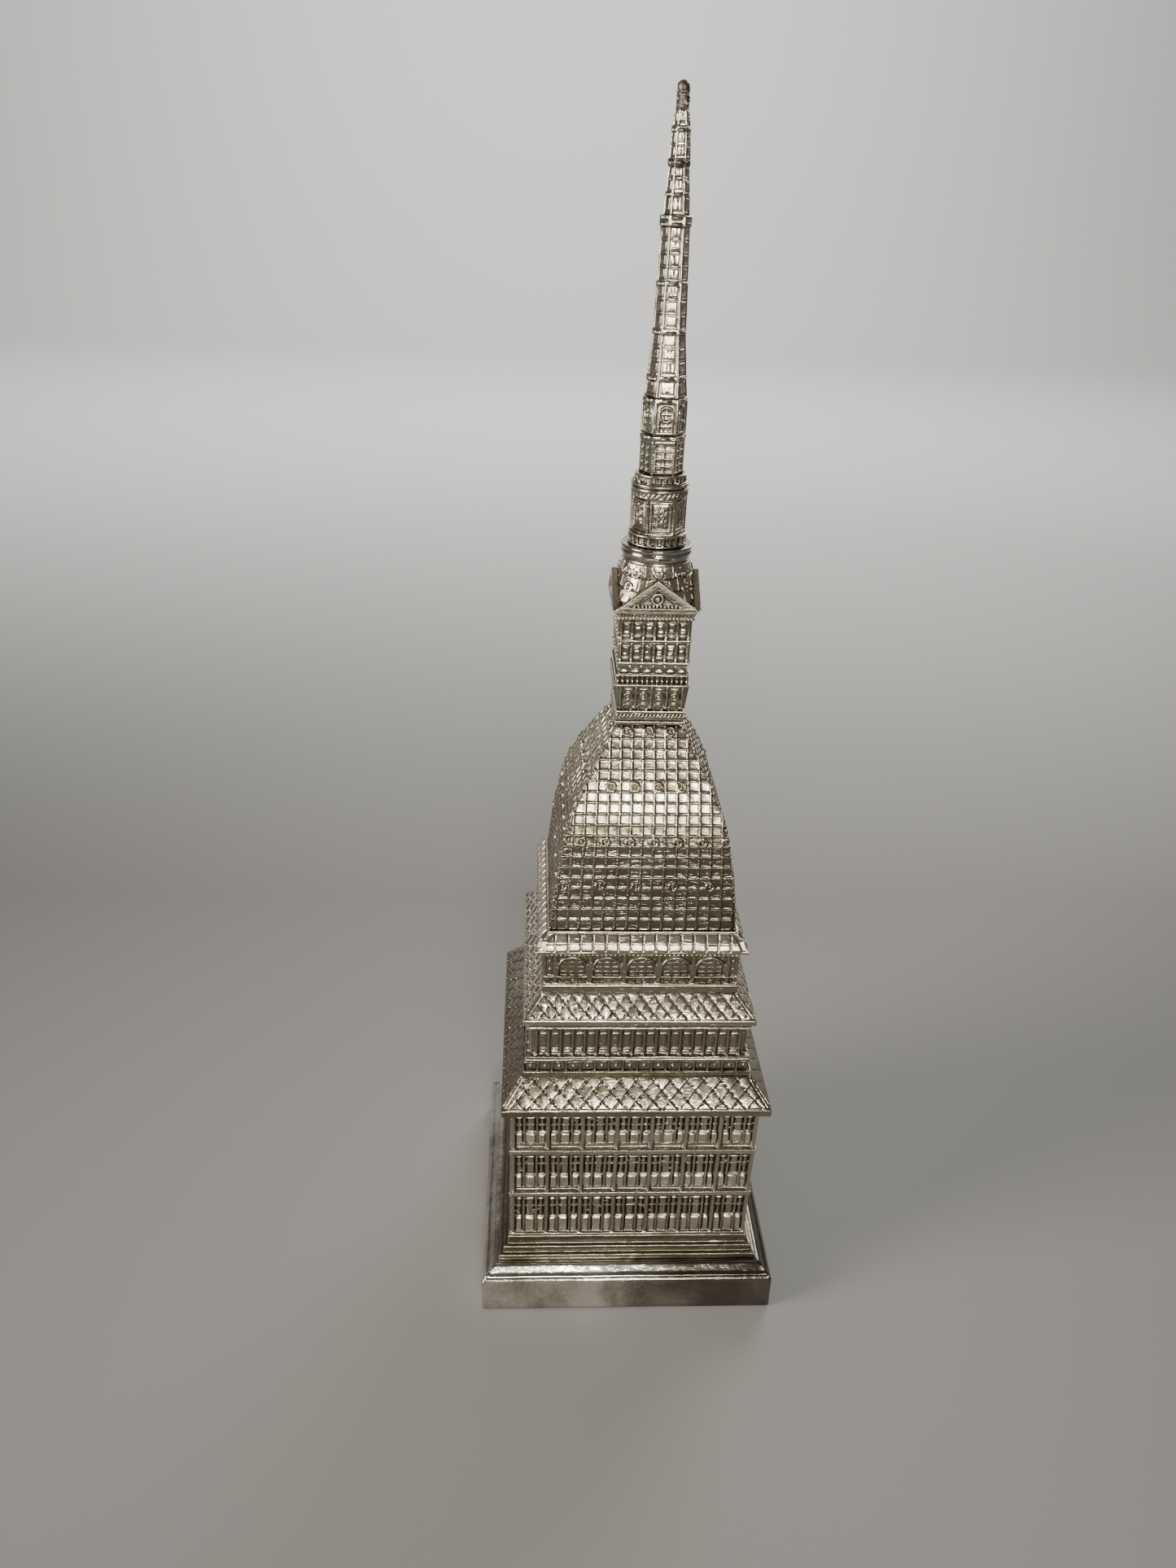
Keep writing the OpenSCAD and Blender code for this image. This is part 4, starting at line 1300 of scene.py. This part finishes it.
def makeBalustrade():
    values = galleryRail
    foot, top = heights("gallery_balustrade")
    radius = values["radius"]
    rail = openPiece("galleryBalustrade")
    drum(radius - 0.45, foot, top)
    ringBar(radius - 0.15, foot + 0.35, 0.34)
    ringBar(radius - 0.1, top - 0.3, 0.32)
    for k in range(values["ribs"]):
        turn = 2 * math.pi * (k + 0.5) / values["ribs"]
        bpy.ops.mesh.primitive_cube_add(
            size=1, scale=(0.62 * mm, 0.8 * mm, (top - foot) * mm), rotation=(0, 0, turn),
            location=aroundFront(radius - 0.3, turn, (foot + top) / 2),
        )
    closePiece()
    finishCast(rail, values)
    standFor(rail, silverCast, "cast_metal", "gallery_balustrade")


panelledDrum = dict(
    radius=7.5, corner=0.55, tall=9.6, lumps=20, ropeTurns=34, voxel=0.14, triangles=34000
)


def makePanelledDrum():
    values = panelledDrum
    foot = heights("gallery_balustrade")[1]
    hidden, top = heights("panelled_drum")
    radius = values["radius"]
    flat = radius * math.cos(math.pi / 6)
    side = openPiece("drumPanel")
    for x in (-2.55, 2.55):
        block(x - 0.22, x + 0.22, flat - 1, flat + 0.02, foot + 1.0, foot + 8.6)
    for z in (1.0, 8.4):
        block(-2.7, 2.7, flat - 1, flat + 0.02, foot + z, foot + z + 0.42)
    block(-3.4, 3.4, flat - 1, flat + 0.05, foot, foot + 0.5)
    block(-1.9, 1.9, flat - 1, flat - 0.2, foot + 1.9, foot + 7.9)
    # a worn relief in the panel
    for k in range(values["lumps"]):
        x, z = random.uniform(-1.5, 1.5), foot + random.uniform(2.3, 7.5)
        ball(x, flat - 0.22, z, random.uniform(0.2, 0.42))
    post(0.6, flat - 0.12, foot + 3.0, foot + 7.2, 0.28)
    post(-0.8, flat - 0.12, foot + 2.4, foot + 6.2, 0.24)
    closePiece()
    turnAround(side, 6)
    body = openPiece("panelledDrum")
    drum(6.75, hidden, foot + 0.1)
    drum(radius - 0.38, foot, foot + values["tall"], corners=6)
    cornerPosts(6.9, foot + values["tall"] / 2, values["tall"], values["corner"], 16)
    ringBar(7.05, foot + 9.75, 0.42)
    drum(7.25, foot + values["tall"], top)
    ringBar(7.15, top - 0.45, 0.48)
    for k in range(values["ropeTurns"]):
        # twisted rope moulding
        turn = 2 * math.pi * k / values["ropeTurns"]
        bpy.ops.mesh.primitive_cylinder_add(
            vertices=10, radius=0.42 * mm, depth=1.7 * mm, rotation=(0, 0.7, turn + math.pi / 2),
            location=aroundAxis(7.15, turn, foot + 10.75),
        )
    closePiece()
    joinPieces(body, side)
    finishCast(body, values)
    waver(body, 0.2, 5)
    standFor(body, silverCast, "cast_metal", "panelled_drum")


balconyRing = dict(ticks=30, burrsAt=[188, 196, 214, 240, 305], voxel=0.14, triangles=20000)


def makeBalcony():
    values = balconyRing
    foot, top = heights("balcony_ring")
    body = openPiece("balconyRing")
    drum(7.3, foot, foot + 1.5)
    ringBar(7.3, foot + 0.75, 0.46)
    drum(6.55, foot + 1.4, top - 0.15)
    ringBar(6.5, top - 0.35, 0.34)
    for k in range(values["ticks"]):
        bpy.ops.mesh.primitive_cylinder_add(
            vertices=8, radius=0.24 * mm, depth=1.6 * mm,
            location=aroundAxis(6.6, 2 * math.pi * k / values["ticks"], foot + 2.4),
        )
    for degrees in values["burrsAt"]:
        # burrs of solder left by the ring
        drop(aroundAxis(6.9, math.radians(degrees), foot + 1.6), random.uniform(0.35, 0.6))
    closePiece()
    finishCast(body, values)
    waver(body, 0.2, 4)
    standFor(body, silverCast, "cast_metal", "balcony_ring")


makeGallery()
makeBalustrade()
makePanelledDrum()
makeBalcony()
print("gallery and balcony ready")


# six-sided drums with windows

belvedere = dict(radius=5.85, bars=5, voxel=0.13, triangles=24000)
archedDrum = dict(radius=5.85, arch=1.75, spring=5.3, voxel=0.13, triangles=22000)


def makeBelvedere():
    values = belvedere
    foot, top = heights("belvedere_drum")
    flat = values["radius"] * math.cos(math.pi / 6)
    side = openPiece("belvederePanes")
    for x in (-2.2, 0, 2.2):
        block(x - 0.2, x + 0.2, flat - 1, flat, foot + 2.2, foot + 9.9)
    for k in range(values["bars"]):
        z = foot + 2.4 + k * 1.85
        block(-2.4, 2.4, flat - 1, flat, z - 0.17, z + 0.17)
    block(-2.6, 2.6, flat - 1, flat + 0.1, foot + 9.7, foot + 10.3)
    closePiece()
    turnAround(side, 6)
    body = openPiece("belvedereDrum")
    drum(5.5, foot, top - 0.2, corners=6)
    cornerPosts(5.35, foot + 5.2, 10.4, 0.45)
    drum(6.0, top - 1.2, top - 0.2, corners=6)
    ringBar(5.55, top - 0.75, 0.42, corners=6)
    closePiece()
    joinPieces(body, side)
    finishCast(body, values)
    waver(body, 0.15, 5)
    standFor(body, spireCast, "cast_metal", "belvedere_drum")


def makeArchedDrum():
    values = archedDrum
    foot, top = heights("arched_drum")
    flat = values["radius"] * math.cos(math.pi / 6)
    arch, spring = values["arch"], foot + values["spring"]
    side = openPiece("archedSide")
    hoop(0, flat - 0.1, spring, arch, 0.26)
    for x in (-arch, arch):
        post(x, flat - 0.1, foot + 1.0, spring, 0.26)
    for x in (-0.6, 0.6):
        block(x - 0.13, x + 0.13, flat - 1, flat - 0.15, foot + 1.0, foot + 6.6)
    for z in (2.4, 3.9, 5.3):
        block(-1.7, 1.7, flat - 1, flat - 0.15, foot + z - 0.13, foot + z + 0.13)
    block(-2.3, 2.3, flat - 1, flat + 0.05, foot + 0.3, foot + 0.8)
    closePiece()
    turnAround(side, 6)
    body = openPiece("archedDrum")
    drum(5.6, foot, top - 0.2, 5.5, corners=6)
    cornerPosts(5.45, foot + 3.95, 7.9, 0.4)
    drum(5.75, top - 1.2, top - 0.2, corners=6)
    ringBar(5.35, top - 0.7, 0.42, corners=6)
    closePiece()
    joinPieces(body, side)
    finishCast(body, values)
    waver(body, 0.15, 5)
    standFor(body, spireCast, "cast_metal", "arched_drum")


makeBelvedere()
makeArchedDrum()
print("drums ready")


# six-sided spire in three castings, dark collar and tip

# each stage: foot radius, top radius, height, ring radius, ring height, rows of windows
spireLower = dict(
    stages=[(5.6, 5.2, 4.1, 5.5, 1.1, 1), (5.05, 4.25, 9.7, 4.6, 1.2, 3), (4.25, 4.0, 9.8, 4.25, 1.0, 3)],
    voxel=0.12, triangles=44000
)
spireMiddle = dict(
    stages=[(3.85, 3.6, 12.0, 4.25, 2.4, 4), (3.25, 3.05, 4.0, 3.2, 0.8, 1), (2.95, 2.55, 5.4, 0, 0, 2)],
    voxel=0.12, triangles=32000
)
spireTop = dict(
    stages=[(2.6, 2.3, 5.4, 2.6, 1.2, 2), (2.1, 1.75, 3.4, 0, 0, 1)],
    voxel=0.12, triangles=18000
)


def spireSide(name, stage, z, bars):
    # raised window frames on one flat side, row over row
    footRadius, topRadius, height = stage[:3]
    rows = stage[5]
    face = math.cos(math.pi / 6)
    lean = math.degrees(math.atan2((footRadius - topRadius) * face, height))
    side = openPiece(name)
    for row in range(rows):
        part = (row + 0.5) / rows
        flat = (footRadius + (topRadius - footRadius) * part) * face - 0.28
        half = flat * 0.36
        tall = height / rows
        middle = z + height * part
        sill, head = middle - tall * 0.44, middle + tall * 0.42
        block(-half - 0.15, half + 0.15, flat - 1, flat + 0.26, sill, sill + tall * 0.13, lean)
        width, pane = 2 * half / bars, sill + tall * 0.22
        for k in range(bars):
            x = -half + width * (k + 0.5)
            block(x - width / 2 + 0.1, x + width / 2 - 0.1, flat - 1, flat + 0.3, pane, head, lean)
        block(-half, half, flat - 1, flat + 0.14, pane, head, lean)
    closePiece()
    return turnAround(side, 6)


def makeSpire(name, node, values):
    foot, top = heights(node)
    z = foot
    body = openPiece(name)
    for footRadius, topRadius, height, ringRadius, ringHeight, rows in values["stages"]:
        drum(footRadius - 0.3, z, z + height + 0.1, topRadius - 0.3, corners=6)
        for k in range(6):
            # soft ribs on the six corners
            turn = math.pi / 3 * k
            lean = math.atan2(footRadius - topRadius, height)
            bpy.ops.mesh.primitive_cylinder_add(
                vertices=10, radius=0.3 * mm, depth=height * mm, rotation=(0, -lean, turn),
                location=aroundAxis((footRadius + topRadius) / 2 - 0.34, turn, z + height / 2),
            )
        if ringHeight:
            drum(ringRadius - 0.3, z + height, z + height + ringHeight, corners=6)
            ringBar(ringRadius - 0.36, z + height + 0.42, 0.36, corners=6)
            if ringHeight > 2:
                ringBar(ringRadius - 0.3, z + height + ringHeight - 0.5, 0.34, corners=6)
        z += height + ringHeight
    closePiece()
    z = foot
    sides = []
    for stage in values["stages"]:
        sides.append(spireSide(name + "Windows", stage, z, 3 if stage[0] > 4 else 2))
        z += stage[2] + stage[4]
    joinPieces(body, *sides)
    cutPlane(body, (0, 0, top), (0, 0, 1))
    finishCast(body, values)
    waver(body, 0.2, 4)
    standFor(body, spireCast, "cast_metal", node)


solderCollar = dict(beads=14, voxel=0.1, triangles=8000, soften=2)
solderTip = dict(beads=22, voxel=0.1, triangles=10000, soften=3)


def makeCollar():
    values = solderCollar
    foot, top = heights("solder_collar")
    collar = openPiece("solderCollar")
    drum(2.6, foot, top, corners=6)
    ringBar(2.5, (foot + top) / 2, 0.45, corners=6)
    for k in range(values["beads"]):
        turn, size = random.uniform(0, 2 * math.pi), random.uniform(0.3, 0.5)
        drop(aroundAxis(2.5, turn, random.uniform(foot + 0.5, top - 0.4)), size)
    closePiece()
    finishCast(collar, values)
    standFor(collar, solderDark, "blackened_solder", "solder_collar")


def makeTip():
    values = solderTip
    foot, top = heights("spire_tip")
    tip = openPiece("spireTip")
    drum(1.55, foot, top - 0.7, 1.4, corners=6)
    bpy.ops.mesh.primitive_uv_sphere_add(
        segments=16, ring_count=10, radius=1.5 * mm, location=(0, 0, (top - 1.6) * mm), scale=(1, 1, 1.04)
    )
    for k in range(values["beads"]):
        turn, size = random.uniform(0, 2 * math.pi), random.uniform(0.3, 0.55)
        drop(aroundAxis(1.2, turn, foot + 0.5 + (top - foot - 2.2) * k / values["beads"]), size)
    closePiece()
    finishCast(tip, values)
    standFor(tip, solderDark, "blackened_solder", "spire_tip")


makeSpire("spireLower", "spire_lower", spireLower)
makeSpire("spireMiddle", "spire_middle", spireMiddle)
makeSpire("spireTop", "spire_top", spireTop)
makeCollar()
makeTip()
print("spire ready")


# hidden hardware keeps its shape and gets its finish

felt = bpy.data.materials.new("greenFelt")
felt.use_nodes = True


def finishFelt():
    tree = felt.node_tree
    shader = tree.nodes["Principled BSDF"]
    place = addNode(tree, "ShaderNodeTexCoord").outputs["Object"]
    fibres = noiseAt(tree, place, 1800.0, 4.0, 0.7)
    blotches = noiseAt(tree, place, 60.0, 3.0)
    amount = mathNode(tree, "MULTIPLY", fibres, blotches)
    amount = between(tree, amount, 0.1, 0.45)
    colour = mixColour(tree, amount, (0.008, 0.018, 0.012, 1), (0.03, 0.05, 0.038, 1))
    tree.links.new(colour, shader.inputs["Base Color"])
    shader.inputs["Roughness"].default_value = 0.95
    shader.inputs["Sheen Weight"].default_value = 0.4
    bumps = addNode(tree, "ShaderNodeBump", {"Strength": 0.8, "Distance": 0.0003})
    tree.links.new(fibres, bumps.inputs["Height"])
    tree.links.new(bumps.outputs["Normal"], shader.inputs["Normal"])


finishFelt()
hardware = {
    "felt_pad": felt, "bottom_plate": steelPlain, "bottom_plate_screws": steelPlain,
    "spire_rod": steelPlain, "rod_nut": steelPlain, "rod_washer": steelPlain,
}
for node, material in hardware.items():
    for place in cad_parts[node].material_slots:
        place.material = material
print("hardware ready")


# floor, light and camera

stageValues = dict(
    size=3.0, bend=0.8, floorColour=(0.35, 0.35, 0.34), worldColour=(0.36, 0.34, 0.31), worldStrength=0.36
)


def makeStage():
    # a floor that curves up into a wall behind
    size = stageValues["size"]
    bpy.ops.object.select_all(action="DESELECT")
    bpy.ops.mesh.primitive_plane_add(size=size * 2, location=(0, 0, 0))
    floor = bpy.context.object
    floor.name = "floorSweep"
    bpy.ops.object.mode_set(mode="EDIT")
    bpy.ops.mesh.select_all(action="DESELECT")
    bpy.ops.object.mode_set(mode="OBJECT")
    for edge in floor.data.edges:
        ends = [floor.data.vertices[index].co for index in edge.vertices]
        edge.select = all(end.y > size - 0.01 for end in ends)
    bpy.ops.object.mode_set(mode="EDIT")
    bpy.ops.mesh.extrude_region_move(TRANSFORM_OT_translate={"value": (0, 0, size)})
    bpy.ops.object.mode_set(mode="OBJECT")
    useModifier(floor, "BEVEL", width=stageValues["bend"], segments=12, limit_method="ANGLE")
    bpy.ops.object.shade_smooth()
    paint = bpy.data.materials.new("paleFloor")
    paint.use_nodes = True
    shader = paint.node_tree.nodes["Principled BSDF"]
    shader.inputs["Base Color"].default_value = (*stageValues["floorColour"], 1)
    shader.inputs["Roughness"].default_value = 0.7
    floor.data.materials.append(paint)


def addLight(name, place, aim, width, height, power, colour, spread=180):
    lamp = bpy.data.lights.new(name, "AREA")
    lamp.shape = "RECTANGLE"
    lamp.size, lamp.size_y = width, height
    lamp.energy = power
    lamp.color = colour
    lamp.spread = math.radians(spread)
    holder = bpy.data.objects.new(name, lamp)
    holder.location = place
    holder.rotation_euler = (Vector(aim) - Vector(place)).to_track_quat("-Z", "Y").to_euler()
    bpy.context.collection.objects.link(holder)


def makeLights():
    world = bpy.data.worlds.new("softRoom")
    world.use_nodes = True
    backdrop = world.node_tree.nodes["Background"]
    backdrop.inputs["Color"].default_value = (*stageValues["worldColour"], 1)
    backdrop.inputs["Strength"].default_value = stageValues["worldStrength"]
    bpy.context.scene.world = world
    # in front, a low one for the spire and a high one for the roofs and the dome; the rest fill in
    addLight("frontLow", (0.08, -0.62, 0.33), (0, 0, 0.30), 0.12, 0.22, 0.2, (1.0, 0.98, 0.86), 70)
    addLight("frontHigh", (-0.01, -0.75, 0.455), (0, 0, 0.12), 0.16, 0.07, 0.5, (1.0, 0.98, 0.87), 70)
    addLight("leftSide", (-0.9, -0.3, 0.4), (0, 0, 0.17), 0.4, 0.6, 1.5, (1.0, 0.89, 0.85), 60)
    addLight("topSoft", (0.1, 0.3, 1.4), (0, 0.3, 0.1), 0.8, 0.8, 0.7, (1.0, 0.96, 0.9))
    addLight("backSoft", (0.55, 0.95, 0.7), (0, 0, 0.14), 0.6, 0.5, 1.6, (1.0, 0.97, 0.92), 90)
    addLight("backWash", (0.0, 1.0, 1.6), (0, 3.0, 0.6), 1.6, 0.6, 145, (1.0, 0.98, 0.96))


def makeCamera():
    view = dict(place=(-0.03344, -0.30882, 0.33050), yaw=3.21, pitch=27.49, roll=2.05, lens=26.96)
    yaw, pitch, roll = (math.radians(view[key]) for key in ("yaw", "pitch", "roll"))
    ahead = Vector((math.sin(yaw) * math.cos(pitch), math.cos(yaw) * math.cos(pitch), -math.sin(pitch)))
    right = Vector((math.cos(yaw), -math.sin(yaw), 0))
    up = right.cross(ahead)
    rightRolled = right * math.cos(roll) + up * math.sin(roll)
    upRolled = up * math.cos(roll) - right * math.sin(roll)
    camera = bpy.data.objects.new("camera", bpy.data.cameras.new("camera"))
    camera.data.lens = view["lens"]
    camera.data.sensor_width = 36
    camera.data.clip_start = 0.01
    turned = Matrix((rightRolled, upRolled, -ahead)).transposed().to_4x4()
    camera.matrix_world = Matrix.Translation(view["place"]) @ turned
    bpy.context.collection.objects.link(camera)
    bpy.context.scene.camera = camera


makeStage()
makeLights()
makeCamera()
print("stage, lights and camera ready")
